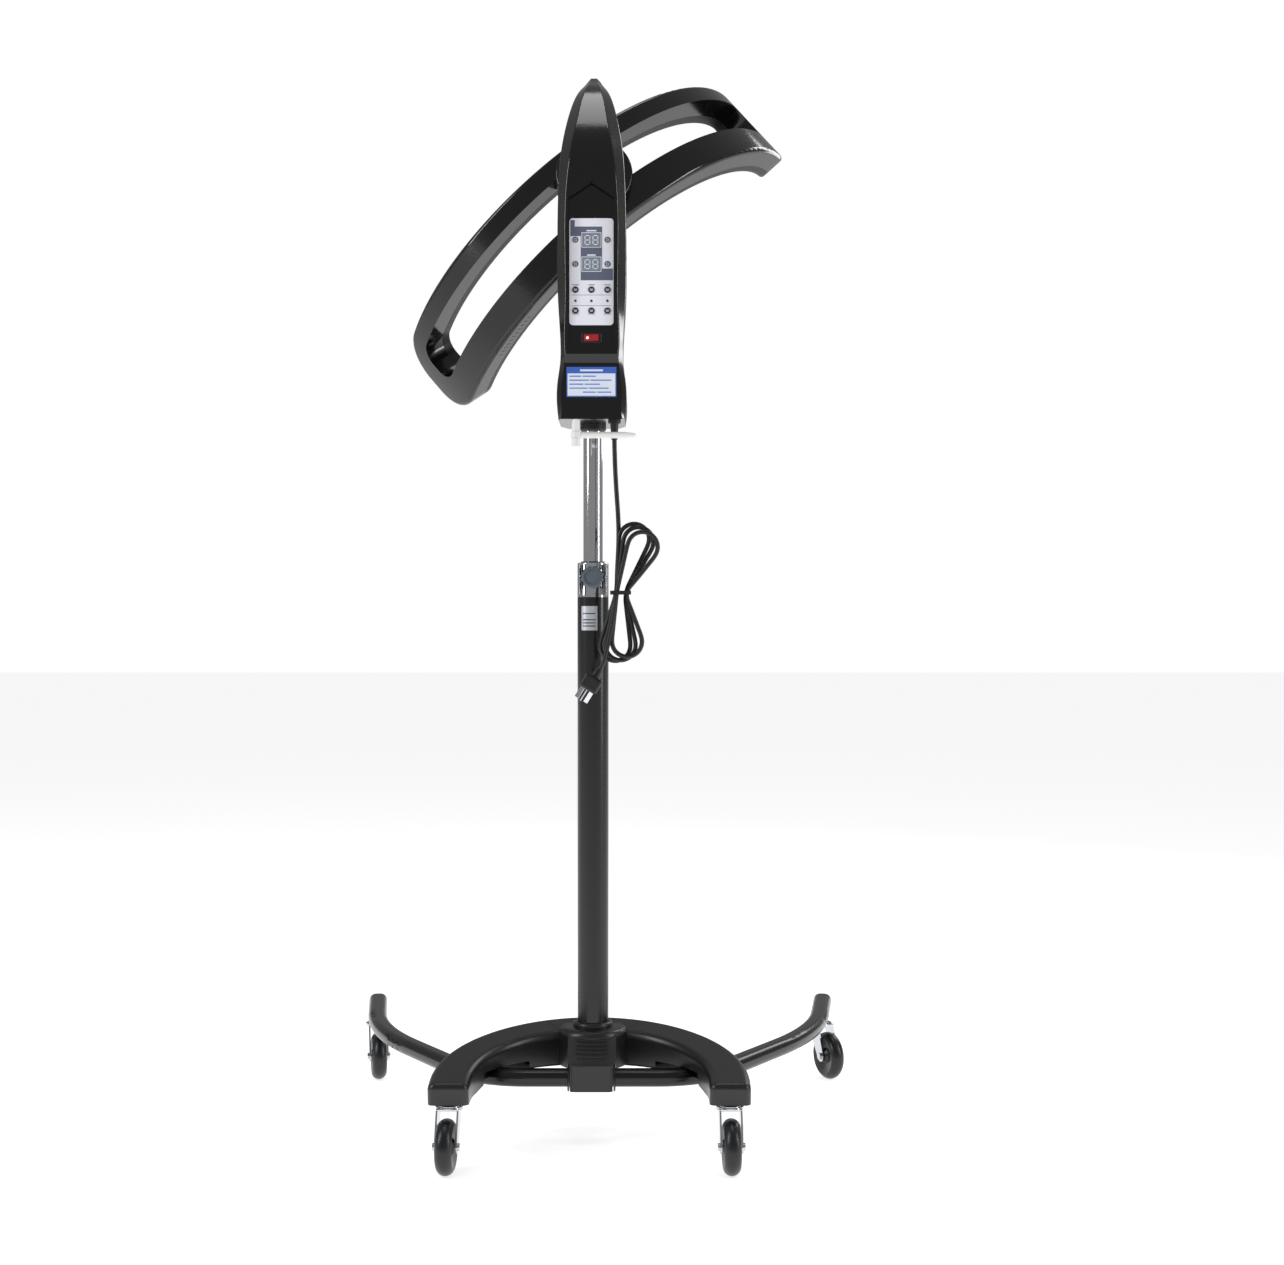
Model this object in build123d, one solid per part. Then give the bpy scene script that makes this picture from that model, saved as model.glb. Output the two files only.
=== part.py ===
from build123d import *
import os
from math import acos, cos, degrees, radians, sin, sqrt, tan

# Orbiting-ring infrared hair processor on a rolling stand.
#
# A closed oblong ring, bent round the client's head, carries infrared lamps and turns
# about a tilted axis on the front of an upright housing. The housing stands on a chrome
# pole that slides in a column, and the column stands on a four-castor base.
#
# Frame: origin on the floor under the column's axis, +Z up, +Y forwards towards the
# client, +X to the right of someone who stands at the control panel and looks forwards.
# All sizes are in millimetres.

OUT = "parts"

# ---------------------------------------------------------------- driving dimensions
TOUCH = 0.05  # gap between a piece and its seat in the same body
RUN = 0.08  # radial gap of a running fit

# castors
WHEEL_R = 37.5
WHEEL_WIDTH = 23.0
TRAIL = 28.0  # stem axis to axle
AXLE_R = 3.0
AXLE_FIT = 0.04  # radial gap of the wheel on its axle
STEM_R = 5.5
STEM_LENGTH = 20.0
FORK_PLATE_R = 19.0
FORK_TOP_Z = 86.0
FORK_SHEET = 2.5
FORK_PLATE = 4.0  # thickness of the plate under the stem
FORK_EYE_R = 9.0  # round the axle
BOLT_HEAD_R = 5.2
BOLT_HEAD = 3.0
FORK_SIDE_GAP = 1.5  # wheel side to fork leg
SOCKET_R = 12.0
TREAD_DEPTH = 8.0  # from the crown to the tread's edge
WHEEL_DISH = 4.0  # how far the wheel's sides are dished
WHEEL_BOSS_R = 13.0

# base
LEG_R = 190.0  # rear horseshoe's centre line
LEG_CENTRE_Y = -170.0
LEG_WIDTH = 56.0
LEG_BOTTOM_Z = 104.0
FOOT_BOTTOM_Z = 91.0
FOOT_LENGTH = 27.0
LEG_TILT = 10.0  # the horseshoe falls this many degrees towards its feet
HUB_TOP_Z = 158.0
HUB_DISC_R = 50.0
CAP_WIDE = 75.0
CAP_NARROW = 38.0
CAP_BACK_Y = -26.0
COVER_WALL = 3.0
COVER_ROUND = 10.0
PROFILE_DROP = 80.0  # height of the leg's section before its underside is cut
BOSS_HALF_WIDTH = 34.0
BOSS_FRONT_Y = -97.0
BOSS_BOTTOM_Z = 85.0
BOSS_LIP_Z = 121.0
BOSS_SHOULDER_Y = -34.0  # where the slope down to the lip starts
BOSS_TOP_DROP = 4.0
RIB_COUNT = 6
RIB_STEP = 7.5
RIB_R = 2.0
RIB_HALF = 22.0
CAP_DEPTH = 9.0
CAP_SEAM = 0.6  # gap round the hub cap
FRAME_WIDTH = 32.0
FRAME_LOW_Z = 100.0
FRAME_HIGH_Z = 116.0
SOCKET_WALL = 5.0  # of the frame's socket round the column
TUBE_SEAM = 0.3  # gap round the front tube
END_CAP = 9.0
COLLAR_WALL = 6.0
COLLAR_HEIGHT = 7.0

# front tube
TUBE_WIDTH = 30.0
TUBE_HEIGHT = 24.0
TUBE_CORNER_R = 11.0
TUBE_WALL = 2.0
TUBE_Z = 100.0
TUBE_MIDDLE_Y = -73.0
TUBE_MIDDLE_HALF = 158.0
TUBE_KNEE = (345.0, 215.0)
TUBE_END = (378.0, 455.0)
TUBE_INNER_BEND = 120.0
TUBE_KNEE_BEND = 560.0
FRONT_STEM_Y = 352.0
FRONT_YAW = (12.0, 24.0)  # how far the two front castors stand turned, left and right
REAR_YAW = (-3.0, 2.0)

# pole
POLE_R = 14.0
POLE_WALL = 1.7
POLE_TOP_Z = 1085.0
POLE_UP = 110.0  # travel from the shown height
FOOT_BUSH_LENGTH = 38.0
HEAD_SOCKET_R = POLE_R + 5.0
HEAD_SOCKET_DROP = 9.0

# column and clamp
COLUMN_R = POLE_R + 8.5
COLUMN_WALL = 2.0
COLUMN_TOP_Z = 778.0
CLAMP_TOP_Z = 828.0
CLAMP_SPIGOT = 38.0
SPIGOT_GAP = 0.15  # radial gap of the spigot in the column
CLAMP_BORE_R = POLE_R + 3.0
KNOB_Z = 806.0
KNOB_R = 16.0
KNOB_FLUTES = 12
KNOB_NEAR_Y = -34.0
KNOB_FAR_Y = -50.0
STUD_R = 4.0
CLAMP_BOSS_R = 12.0
CLAMP_BOSS_Y = -32.0
EAR_X = 19.5
EAR_SHEET = 3.0
EAR_Y = (-27.0, -8.0)
STUD_GRIP = 8.0  # stud length inside the knob
KNOB_DISH = 1.5
FLUTE_R = 3.0

# housing: stations from the bottom to the tip, each with its rear and front point in
# the YZ plane, its half width, and the half width of its flat rear and front bands
HOUSING_WALL = 3.0
HOUSING_STATIONS = [
    ((-87.0, 1027.0), (45.0, 1027.0), 47.0, 42.0, 36.0),
    ((-87.5, 1110.0), (45.0, 1110.0), 44.5, 36.5, 34.0),
    ((-89.0, 1190.0), (45.0, 1190.0), 47.3, 37.0, 35.0),
    ((-90.0, 1270.0), (45.0, 1268.0), 48.7, 37.5, 36.0),
    ((-90.0, 1345.0), (42.0, 1330.0), 47.7, 36.0, 36.0),
    ((-82.0, 1402.0), (47.0, 1378.0), 45.0, 30.0, 33.0),
    ((-60.0, 1446.0), (56.0, 1420.0), 39.5, 23.0, 28.0),
    ((-24.0, 1490.0), (65.0, 1456.0), 31.5, 16.0, 21.0),
    ((16.0, 1524.0), (74.0, 1488.0), 21.5, 9.0, 13.0),
    ((58.0, 1548.0), (84.0, 1518.0), 10.0, 4.5, 6.5),
]
LEDGE_Z = (1106.0, 1122.0)  # the rear steps out between these heights
LEDGE_Y = -81.0
BEVEL_REAR = 0.16  # share of the section's depth that its rear bevel takes
BEVEL_FRONT = 0.22
SECTION_ROUND = 0.09  # corner rounding, as a share of the half width
PARTING_Y = 4.0

# control channel, panel and switch
CHANNEL_Y = -82.0
CHANNEL_HALF = 32.0
CHANNEL_LOW_Z = 1126.0
CHANNEL_SIDE_Z = 1338.0
CHANNEL_CROWN_Z = 1359.0
PANEL_WIDTH = 62.0
PANEL_HEIGHT = 150.0
PANEL_Z = 1233.5
PANEL_THICK = 1.2
PANEL_CORNER_R = 5.0
KEY_X = 22.4
KEY_PROUD = 0.9
KEY_LENGTH = 4.2
KEY_GAP = 0.25
ARROW_R = 4.4
FUNCTION_R = 5.0
ARROW_ROWS = (44.5, 10.5)
FUNCTION_ROWS = (-25.5, -55.0)
DISPLAY = (26.0, 19.5)
SWITCH_Z = 1140.5
BEZEL = (29.0, 14.0)
ROCKER = (22.0, 9.0)
ROCKER_TILT = 8.0
VISOR_APEX_Z = 1396.0
VISOR_LEAN = 8.0  # degrees from upright
VISOR_NEAR_Y = -99.0
VISOR_FOOT_Y = -95.0
PLATE_Z = 1079.0
PLATE = (70.0, 42.0, 0.6)
CUT_Y = -120.0  # behind the whole housing, where cuts from the rear start
HOLE_Y = -60.0  # inside the housing, where they end
WINDOW_GAP = 0.1
ROCKER_GAP = 0.4
BOARD = (52.0, 140.0, 1.6)
BOARD_POSTS = (20.0, 66.0)
POST_R = 3.0
POST_LENGTH = 12.0

# cord outlet and accessory hook
OUTLET = (32.0, -62.0)
OUTLET_R = 6.0
CORD_R = 3.25
RELIEF_LOW_Z = 1000.0
RELIEF_TIP_R = 4.4
RELIEF_FLANGE = 3.0
HOOK = (-22.0, -75.0)
HOOK_ROD_R = 3.0
HOOK_ARM_R = 4.5
HOOK_ARM_Z = 1005.0
HOOK_ARM_REACH = 84.0
HOOK_NUT_R = 6.0
HOOK_NUT = 11.0  # how far the lower nut hangs below the arm
HOOK_TIP = 14.0
HOOK_TIP_TAPER = 8.0  # degrees
HOOK_PLAY = 0.3

# ring: a loop on a cylinder round the client's head, turned about the orbit axis
AXIS_DROP = 13.0  # the orbit axis points this many degrees below level
RING_TURN = 40.0  # how far the ring stands turned about its axis
RING_CENTRE = (0.0, 418.0, 1323.6)
RING_R = 329.0  # to the middle of the ring's depth
RING_DEPTH = 48.0
RING_LOW = (-77.5, -28.5)  # the wide bar, from side to side
RING_HIGH = (36.5, 69.5)  # the narrow bar
RING_HALF_ANGLE = 77.0
WINDOW_HALF_ANGLE = 69.5
RING_CORNER_R = 60.0
WINDOW_CORNER_R = 25.0
RING_ROUND = 7.0
RING_WALL = 2.5
RING_PARTING = -9.0  # from the middle of the depth towards the head
LAMP_ANGLES = (17.0, 57.0)
LAMP_R = 5.0
LAMP_INSET = 6.0  # from the middle of the depth towards the head
REFLECTOR_R = 11.0
REFLECTOR_SHEET = 1.2
SLOT_STEP = 4.0
SLOT_WIDTH = 9.0
SLOT_MARGIN = 14.0
VENT_ANGLES = (36.0, 50.0)
VENT_STEP = 1.4
VENT_ROWS = (0.5, 4.0, 7.5)  # from the middle of the depth outwards
VENT = 2.0

# hub and drive, measured back from the ring's centre along the orbit axis
HUB_R = 57.0
HUB_BACK = 373.0
HUB_FACE = 375.0
SHAFT_R = 8.0
SHAFT_END = 430.0
SPINDLE_R = 5.0
BEARING_R = 19.0
BEARING_WIDTH = 12.0
SEAT_R = 24.0
SEAT_BACK = 462.0
HUB_LENGTH = 60.0
SHAFT_GRIP = 12.0  # shaft length inside the hub
MOTOR_FRONT = 417.0
MOTOR_BACK = 460.0

# cord: points of the lead from the outlet to the hank, and of the tail to the plug
LEAD = [
    (32.0, -62.0, 1034.0),
    (32.0, -62.0, 985.0),
    (34.0, -64.0, 938.0),
    (38.0, -70.0, 884.0),
]
TAIL = [(21.0, -90.0, 690.0), (12.0, -90.0, 675.5)]
HANK_Y = -80.0
HANK_DEPTH = 27.0
HANK_OUTLINE = [
    (33.0, 868.0),
    (40.0, 884.0),
    (58.0, 885.0),
    (80.0, 880.0),
    (98.0, 868.0),
    (100.0, 846.0),
    (80.0, 815.0),
    (54.0, 791.0),
    (54.0, 775.0),
    (74.0, 745.0),
    (80.0, 715.0),
    (74.0, 692.0),
    (46.0, 682.0),
    (20.0, 685.0),
    (8.0, 702.0),
    (10.0, 728.0),
    (28.0, 775.0),
    (28.0, 791.0),
]
TIE_Z = 783.0
TIE_HEIGHT = 5.0
TIE_THICK = 1.5
PLUG_LEAN = 32.0  # degrees from straight down, towards -X
PLUG = (27.0, 22.0, 22.0)  # wide, deep, long
PLUG_NECK = 12.0
PIN = (1.6, 6.3, 16.0)

# ---------------------------------------------------------------- helpers


def tube(outer_r, inner_r, low, high):
    """An upright round tube between two heights."""
    ring = Circle(outer_r) - Circle(inner_r)
    return Pos(0, 0, low) * extrude(ring, amount=high - low)


def rod(radius, low, high):
    """An upright round bar between two heights."""
    return Pos(0, 0, low) * extrude(Circle(radius), amount=high - low)


def box(low, high):
    """A box between two corners."""
    size = [high[i] - low[i] for i in range(3)]
    middle = [(high[i] + low[i]) / 2 for i in range(3)]
    return Pos(*middle) * Box(*size)


def several(shapes):
    """Separate solids, kept apart in one node."""
    return Compound(children=[s for shape in shapes for s in shape.solids()])


# ---------------------------------------------------------------- castors


def castor_fork():
    """Chrome fork with its stem, and the axle bolt, about a stem on the Z axis."""
    leg_x = WHEEL_WIDTH / 2 + FORK_SIDE_GAP
    axle = (-TRAIL, WHEEL_R)
    plate_low = FORK_TOP_Z - FORK_PLATE
    plate = rod(FORK_PLATE_R, plate_low, FORK_TOP_Z)
    cup = rod(FORK_PLATE_R - 3, FORK_TOP_Z, FORK_TOP_Z + 1.5)
    bridge = box((-leg_x - FORK_SHEET, -20, plate_low), (leg_x + FORK_SHEET, 12, FORK_TOP_Z - 1))
    outline = make_hull(
        (Pos(*axle) * Circle(FORK_EYE_R)).edges() + (Pos(-4, plate_low + 1) * Rectangle(32, 2)).edges()
    )
    leg = extrude(Plane.YZ * outline, amount=FORK_SHEET)
    legs = [Pos(leg_x, 0, 0) * leg, Pos(-leg_x - FORK_SHEET, 0, 0) * leg]
    stem = rod(STEM_R, FORK_TOP_Z, FORK_TOP_Z + STEM_LENGTH)
    hole = Pos(-40, axle[0], axle[1]) * Rot(0, 90, 0) * rod(AXLE_R, 0, 80)
    fork = plate + cup + bridge + legs[0] + legs[1] + stem - hole
    bolt_half = leg_x + FORK_SHEET
    bolt = rod(AXLE_R - TOUCH, -bolt_half, bolt_half)
    bolt += rod(BOLT_HEAD_R, bolt_half + TOUCH, bolt_half + BOLT_HEAD)
    bolt += rod(BOLT_HEAD_R, -bolt_half - BOLT_HEAD, -bolt_half - TOUCH)
    bolt += rod(AXLE_R - TOUCH, -bolt_half - 1, bolt_half + 1)
    bolt = Pos(0, axle[0], axle[1]) * Rot(0, 90, 0) * bolt
    return several([fork, bolt])


def castor_wheel():
    """Crowned wheel on the axle, with dished sides."""
    half = WHEEL_WIDTH / 2
    edge = WHEEL_R - TREAD_DEPTH
    bore = AXLE_R - TOUCH + AXLE_FIT
    crown = ThreePointArc((-half, edge), (0, WHEEL_R), (half, edge))
    side = [
        (half, edge),
        (half - 1.5, edge - 7),
        (half - WHEEL_DISH, WHEEL_BOSS_R),
        (half, WHEEL_BOSS_R - WHEEL_DISH),
        (half, bore),
    ]
    rest = Polyline(*side, *[(-x, r) for x, r in reversed(side)])
    wheel = revolve(make_face(crown + rest), Axis.X)
    return Pos(0, -TRAIL, WHEEL_R) * wheel


def castor_places():
    """Each castor's name, stem position and yaw."""
    knee_share = (FRONT_STEM_Y - TUBE_KNEE[1]) / (TUBE_END[1] - TUBE_KNEE[1])
    front_x = TUBE_KNEE[0] + knee_share * (TUBE_END[0] - TUBE_KNEE[0])
    return [
        ("rear_left", -LEG_R, LEG_CENTRE_Y, REAR_YAW[0]),
        ("rear_right", LEG_R, LEG_CENTRE_Y, REAR_YAW[1]),
        ("front_left", -front_x, FRONT_STEM_Y, FRONT_YAW[0]),
        ("front_right", front_x, FRONT_STEM_Y, FRONT_YAW[1]),
    ]


# ---------------------------------------------------------------- base


def leg_solid(inset):
    """The tilted horseshoe and its feet, which reach lower than the legs."""
    fall = Vector(0, -cos(radians(LEG_TILT)), -sin(radians(LEG_TILT)))
    end_z = HUB_TOP_Z - LEG_R * sin(radians(LEG_TILT)) - inset
    at = Plane((LEG_R, LEG_CENTRE_Y, end_z), x_dir=(1, 0, 0), z_dir=fall)
    width = LEG_WIDTH - 2 * inset
    profile = Pos(0, -PROFILE_DROP / 2) * RectangleRounded(width, PROFILE_DROP, COVER_ROUND - inset)
    foot = extrude(at * profile, amount=FOOT_LENGTH - inset)
    foot = fillet(foot.edges().group_by(Axis.Y)[0], COVER_ROUND - inset - 1)
    axis = Axis((0, LEG_CENTRE_Y, end_z), (0, -sin(radians(LEG_TILT)), cos(radians(LEG_TILT))))
    legs = revolve(at * profile, axis, 180) + foot + mirror(foot, about=Plane.YZ)
    reach = LEG_R + LEG_WIDTH
    inner = LEG_R - LEG_WIDTH / 2 - 4
    floor = FOOT_BOTTOM_Z - 4 * inset
    arch = LEG_BOTTOM_Z - 4 * inset
    front = make_face(
        Polyline(
            (-reach, 220),
            (-reach, floor),
            (-inner, floor),
            (-inner + 22, arch),
            (inner - 22, arch),
            (inner, floor),
            (reach, floor),
            (reach, 220),
            close=True,
        )
    )
    return legs & extrude(Plane.XZ * front, amount=400, both=True)


def disc_solid(inset):
    """The round hub under the column."""
    return rod(HUB_DISC_R - inset, LEG_BOTTOM_Z - 4 * inset, HUB_TOP_Z - inset)


def boss_solid(inset):
    """The hub's nose that grips the front tube, sloping down to its lip."""
    nose = Polyline(
        (20, BOSS_BOTTOM_Z - 4 * inset),
        (BOSS_FRONT_Y + inset, BOSS_BOTTOM_Z - 4 * inset),
        (BOSS_FRONT_Y + inset, BOSS_LIP_Z - inset),
        (BOSS_FRONT_Y + 6, BOSS_LIP_Z + 3 - inset),
        (BOSS_SHOULDER_Y, HUB_TOP_Z - BOSS_TOP_DROP - inset),
        (20, HUB_TOP_Z - BOSS_TOP_DROP - inset),
        close=True,
    )
    return extrude(Plane.YZ * make_face(nose), amount=BOSS_HALF_WIDTH - inset, both=True)


def cover_outer():
    """Outside of the base cover, with its top edges rounded."""
    legs = leg_solid(0)
    disc = disc_solid(0)
    disc = fillet(disc.edges().group_by(Axis.Z)[-1], COVER_ROUND)
    boss = boss_solid(0)
    front = boss.edges().filter_by(Axis.Z).group_by(Axis.Y)[0]
    boss = fillet(front, 12)
    return legs + disc + boss


def cap_plan():
    """Trapezium of the hub cap round the column."""
    return make_face(
        Polyline(
            (-CAP_WIDE, 60),
            (CAP_WIDE, 60),
            (CAP_WIDE, 34),
            (CAP_NARROW, CAP_BACK_Y),
            (-CAP_NARROW, CAP_BACK_Y),
            (-CAP_WIDE, 34),
            close=True,
        )
    )


def tube_path():
    """The front tube's centre line: straight middle, two bends a side, straight tails."""
    half = [(TUBE_MIDDLE_HALF, TUBE_MIDDLE_Y), TUBE_KNEE, TUBE_END]
    points = [(-x, y, TUBE_Z) for x, y in reversed(half)] + [(x, y, TUBE_Z) for x, y in half]
    bends = [TUBE_KNEE_BEND, TUBE_INNER_BEND, TUBE_INNER_BEND, TUBE_KNEE_BEND]
    return FilletPolyline(*points, radius=bends)


def tube_section(inset):
    """The front tube's flat oval section at the start of its path, drawn in by an inset."""
    path = tube_path()
    at = Plane(path @ 0, x_dir=Vector(0, 0, 1).cross(path % 0), z_dir=path % 0)
    size = (TUBE_WIDTH - 2 * inset, TUBE_HEIGHT - 2 * inset)
    return at * RectangleRounded(*size, TUBE_CORNER_R - inset)


def base_parts():
    """Cover, hub cap, steel frame, front tube with caps, castor sockets."""
    sockets = []
    seats = None
    for _, x, y, _ in castor_places():
        low = FORK_TOP_Z + 2
        top = FRAME_HIGH_Z if y < 0 else TUBE_Z + TUBE_HEIGHT / 2 - TUBE_WALL - 1
        socket = Pos(x, y, 0) * tube(SOCKET_R, STEM_R + RUN, low, top)
        sockets.append(socket)
        seat = Pos(x, y, 0) * rod(SOCKET_R + TOUCH, low - 1, top + TOUCH)
        seats = seat if seats is None else seats + seat

    path = tube_path()
    solid_tube = sweep(tube_section(0), path=path)
    pipe = solid_tube - sweep(tube_section(TUBE_WALL), path=path) - seats
    caps = []
    for share, sign in ((0, -1), (1, 1)):
        along = path % share
        at = Plane(path @ share, x_dir=Vector(0, 0, 1).cross(along), z_dir=sign * along)
        cap = extrude(at * RectangleRounded(TUBE_WIDTH, TUBE_HEIGHT, TUBE_CORNER_R), amount=END_CAP)
        cap = fillet(cap.edges().sort_by(lambda e: e.center().Y)[-1], 7)
        caps.append(cap)

    outside = cover_outer()
    inside = leg_solid(COVER_WALL) + disc_solid(COVER_WALL) + boss_solid(COVER_WALL)
    straight = Pos(-90, TUBE_MIDDLE_Y, TUBE_Z) * Rot(0, 90, 0)
    gap_size = (TUBE_HEIGHT + 2 * TUBE_SEAM, TUBE_WIDTH + 2 * TUBE_SEAM)
    gap_section = RectangleRounded(*gap_size, TUBE_CORNER_R)
    tube_hole = straight * extrude(gap_section, amount=180)
    notch_top = TUBE_Z + TUBE_HEIGHT / 2 + 1
    for side in (-1, 1):
        low_x, high_x = sorted((side * 90, side * 262))
        tube_hole += box((low_x, -102, 60), (high_x, 72, notch_top))
    cap_split = HUB_TOP_Z - CAP_DEPTH
    cap_block = Pos(0, 0, cap_split) * extrude(cap_plan(), amount=30)
    cap_gap = Pos(0, 0, cap_split - 0.4) * extrude(offset(cap_plan(), CAP_SEAM), amount=30)
    column_hole = rod(COLUMN_R + TOUCH, 60, 200)
    cap = (outside & cap_block) - inside - column_hole
    cap -= rod(COLUMN_R + COLLAR_WALL + CAP_SEAM / 2, HUB_TOP_Z, HUB_TOP_Z + 20)
    cover = outside - inside - cap_gap - column_hole - tube_hole - seats
    ribs = None
    shoulder_z = HUB_TOP_Z - BOSS_TOP_DROP
    slope = (shoulder_z - BOSS_LIP_Z - 3) / (BOSS_SHOULDER_Y - BOSS_FRONT_Y - 6)
    for n in range(RIB_COUNT):
        y = BOSS_SHOULDER_Y - 8 - n * RIB_STEP
        z = shoulder_z + (y - BOSS_SHOULDER_Y) * slope
        rib = Pos(0, y, z) * Rot(0, 90, 0) * extrude(Circle(RIB_R), amount=RIB_HALF, both=True)
        ribs = rib if ribs is None else ribs + rib
    cover = cover + (ribs - inside)

    half = FRAME_WIDTH / 2
    arc = Circle(LEG_R + half) - Circle(LEG_R - half) - Pos(0, -300) * Rectangle(600, 600)
    plate = Pos(0, LEG_CENTRE_Y) * arc + Circle(40)
    for side in (-1, 1):
        plate += Pos(side * LEG_R, LEG_CENTRE_Y - 8) * Rectangle(FRAME_WIDTH, 18)
    plate += Pos(0, -40) * Rectangle(44, 40)
    frame = Pos(0, 0, FRAME_LOW_Z) * extrude(plate, amount=FRAME_HIGH_Z - FRAME_LOW_Z)
    frame += rod(COLUMN_R + SOCKET_WALL, FRAME_LOW_Z, cap_split - 1)
    frame -= rod(COLUMN_R + TOUCH, FRAME_LOW_Z + 4, 200)
    frame -= seats
    frame -= sweep(tube_section(-TUBE_SEAM), path=path)
    collar_r = COLUMN_R + COLLAR_WALL
    collar = tube(collar_r, COLUMN_R + TOUCH, HUB_TOP_Z + TOUCH, HUB_TOP_Z + COLLAR_HEIGHT)
    collar = fillet(collar.edges().group_by(Axis.Z)[-1].sort_by(lambda e: e.length)[-1], 4)
    return {
        "base_cover": cover,
        "hub_cap": cap,
        "base_frame": frame,
        "front_tube": pipe,
        "tube_end_caps": several(caps),
        "castor_sockets": several(sockets),
        "column_collar": collar,
    }


# ---------------------------------------------------------------- column, clamp, pole


def column_parts():
    """Column, clamp with its bush and knob, and the sliding pole."""
    column = tube(COLUMN_R, COLUMN_R - COLUMN_WALL, FRAME_LOW_Z + 4, COLUMN_TOP_Z)
    spigot_low = COLUMN_TOP_Z - CLAMP_SPIGOT
    body = rod(COLUMN_R, COLUMN_TOP_Z + TOUCH, CLAMP_TOP_Z)
    body = fillet(body.edges().group_by(Axis.Z)[-1], 2.0)
    body += rod(COLUMN_R - COLUMN_WALL - SPIGOT_GAP, spigot_low, COLUMN_TOP_Z + 1)
    along_y = Pos(0, 0, KNOB_Z) * Rot(90, 0, 0)
    body += along_y * rod(CLAMP_BOSS_R, COLUMN_R - 6, -CLAMP_BOSS_Y)
    for side in (-1, 1):
        x = side * EAR_X
        ear_low = (x - EAR_SHEET / 2, EAR_Y[0], COLUMN_TOP_Z + 3)
        ear = box(ear_low, (x + EAR_SHEET / 2, EAR_Y[1], CLAMP_TOP_Z - 3))
        body += fillet(ear.edges().filter_by(Axis.Z), 1.0)
    bore = rod(CLAMP_BORE_R, spigot_low - 1, CLAMP_TOP_Z + 1)
    thread = along_y * rod(STUD_R + RUN, 0, 40)
    clamp = body - bore - thread
    bush = tube(CLAMP_BORE_R - TOUCH, POLE_R + RUN, spigot_low, CLAMP_TOP_Z)
    bush += tube(COLUMN_R - 5, POLE_R + RUN, CLAMP_TOP_Z + TOUCH, CLAMP_TOP_Z + 1.6)
    bush += tube(CLAMP_BORE_R - TOUCH, POLE_R + RUN, CLAMP_TOP_Z - 1, CLAMP_TOP_Z + 1)

    knob = rod(KNOB_R, -KNOB_NEAR_Y, -KNOB_FAR_Y)
    flute = None
    for n in range(KNOB_FLUTES):
        cutter = Rot(0, 0, n * 360 / KNOB_FLUTES) * Pos(KNOB_R + 1.6, 0, 0) * rod(FLUTE_R, 30, 60)
        flute = cutter if flute is None else flute + cutter
    knob = fillet(knob.edges().group_by(Axis.Z)[-1], 2.5)
    dish = rod(KNOB_R - 5, -KNOB_FAR_Y - KNOB_DISH, 70)
    knob = knob - flute - dish
    stud = rod(STUD_R, CLAMP_BORE_R + 0.5, -KNOB_NEAR_Y + STUD_GRIP)
    knob -= rod(STUD_R + TOUCH, -KNOB_NEAR_Y - 1, -KNOB_NEAR_Y + STUD_GRIP + TOUCH)
    knob_node = several([along_y * knob, along_y * stud])

    bush_top = spigot_low - 2
    pole_low = bush_top - POLE_UP - FOOT_BUSH_LENGTH
    pole = tube(POLE_R, POLE_R - POLE_WALL, pole_low, POLE_TOP_Z)
    foot_bush = tube(COLUMN_R - COLUMN_WALL - RUN, POLE_R + TOUCH, pole_low, bush_top - POLE_UP)
    socket_top = POLE_TOP_Z + 6
    socket = rod(HEAD_SOCKET_R, HOUSING_STATIONS[0][0][1] - HEAD_SOCKET_DROP, socket_top)
    socket = chamfer(socket.edges().group_by(Axis.Z)[0], 2.5)
    socket -= rod(POLE_R + RUN, 0, POLE_TOP_Z + RUN)
    return {
        "lower_column": column,
        "clamp_collar": clamp,
        "collar_bush": bush,
        "clamp_knob": knob_node,
        "chrome_pole": pole,
        "pole_foot_bush": foot_bush,
        "head_socket": socket,
    }


# ---------------------------------------------------------------- housing


def station_face(station, inset):
    """One eight-sided section of the housing, with rounded corners."""
    (rear_y, rear_z), (front_y, front_z), half, rear_band, front_band = station
    depth = sqrt((front_y - rear_y) ** 2 + (front_z - rear_z) ** 2)
    across = Vector(0, (front_y - rear_y) / depth, (front_z - rear_z) / depth)
    plane = Plane((0, rear_y, rear_z), x_dir=(1, 0, 0), z_dir=Vector(1, 0, 0).cross(across))
    rear_bevel = depth * BEVEL_REAR
    front_bevel = depth * (1 - BEVEL_FRONT)
    right = [
        (rear_band, 0),
        (half, rear_bevel),
        (half, front_bevel),
        (front_band, depth),
    ]
    outline = right + [(-x, y) for x, y in reversed(right)]
    face = make_face(Polyline(*outline, close=True))
    if inset:
        face = offset(face, -inset, kind=Kind.INTERSECTION)
    face = fillet(face.vertices(), (half - inset) * SECTION_ROUND)
    return plane * face


def housing_solid(inset):
    """The whole housing as one solid, drawn in by an inset (out, if negative)."""
    solid = loft([station_face(s, inset) for s in HOUSING_STATIONS])
    foot_z = HOUSING_STATIONS[0][0][1]
    wedge = make_face(
        Polyline(
            (-150, foot_z - 20),
            (LEDGE_Y + inset, foot_z - 20),
            (LEDGE_Y + inset, LEDGE_Z[0] + inset / 2),
            (-100 + inset, LEDGE_Z[1] + 27 + inset / 2),
            (-150, LEDGE_Z[1] + 27),
            close=True,
        )
    )
    return solid - extrude(Plane.YZ * wedge, amount=80, both=True)


def chevron(low, side_top, apex, crown):
    """A V-shaped outline in X and Z across the top of the control channel."""
    half = CHANNEL_HALF
    top = [(half, side_top), (0, crown), (-half, side_top)]
    return make_face(Polyline((-half, low), (0, apex), (half, low), *top, close=True))


def panel_point(x, row):
    """A place on the control panel, in X and Z."""
    return (x, PANEL_Z + row)


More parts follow.
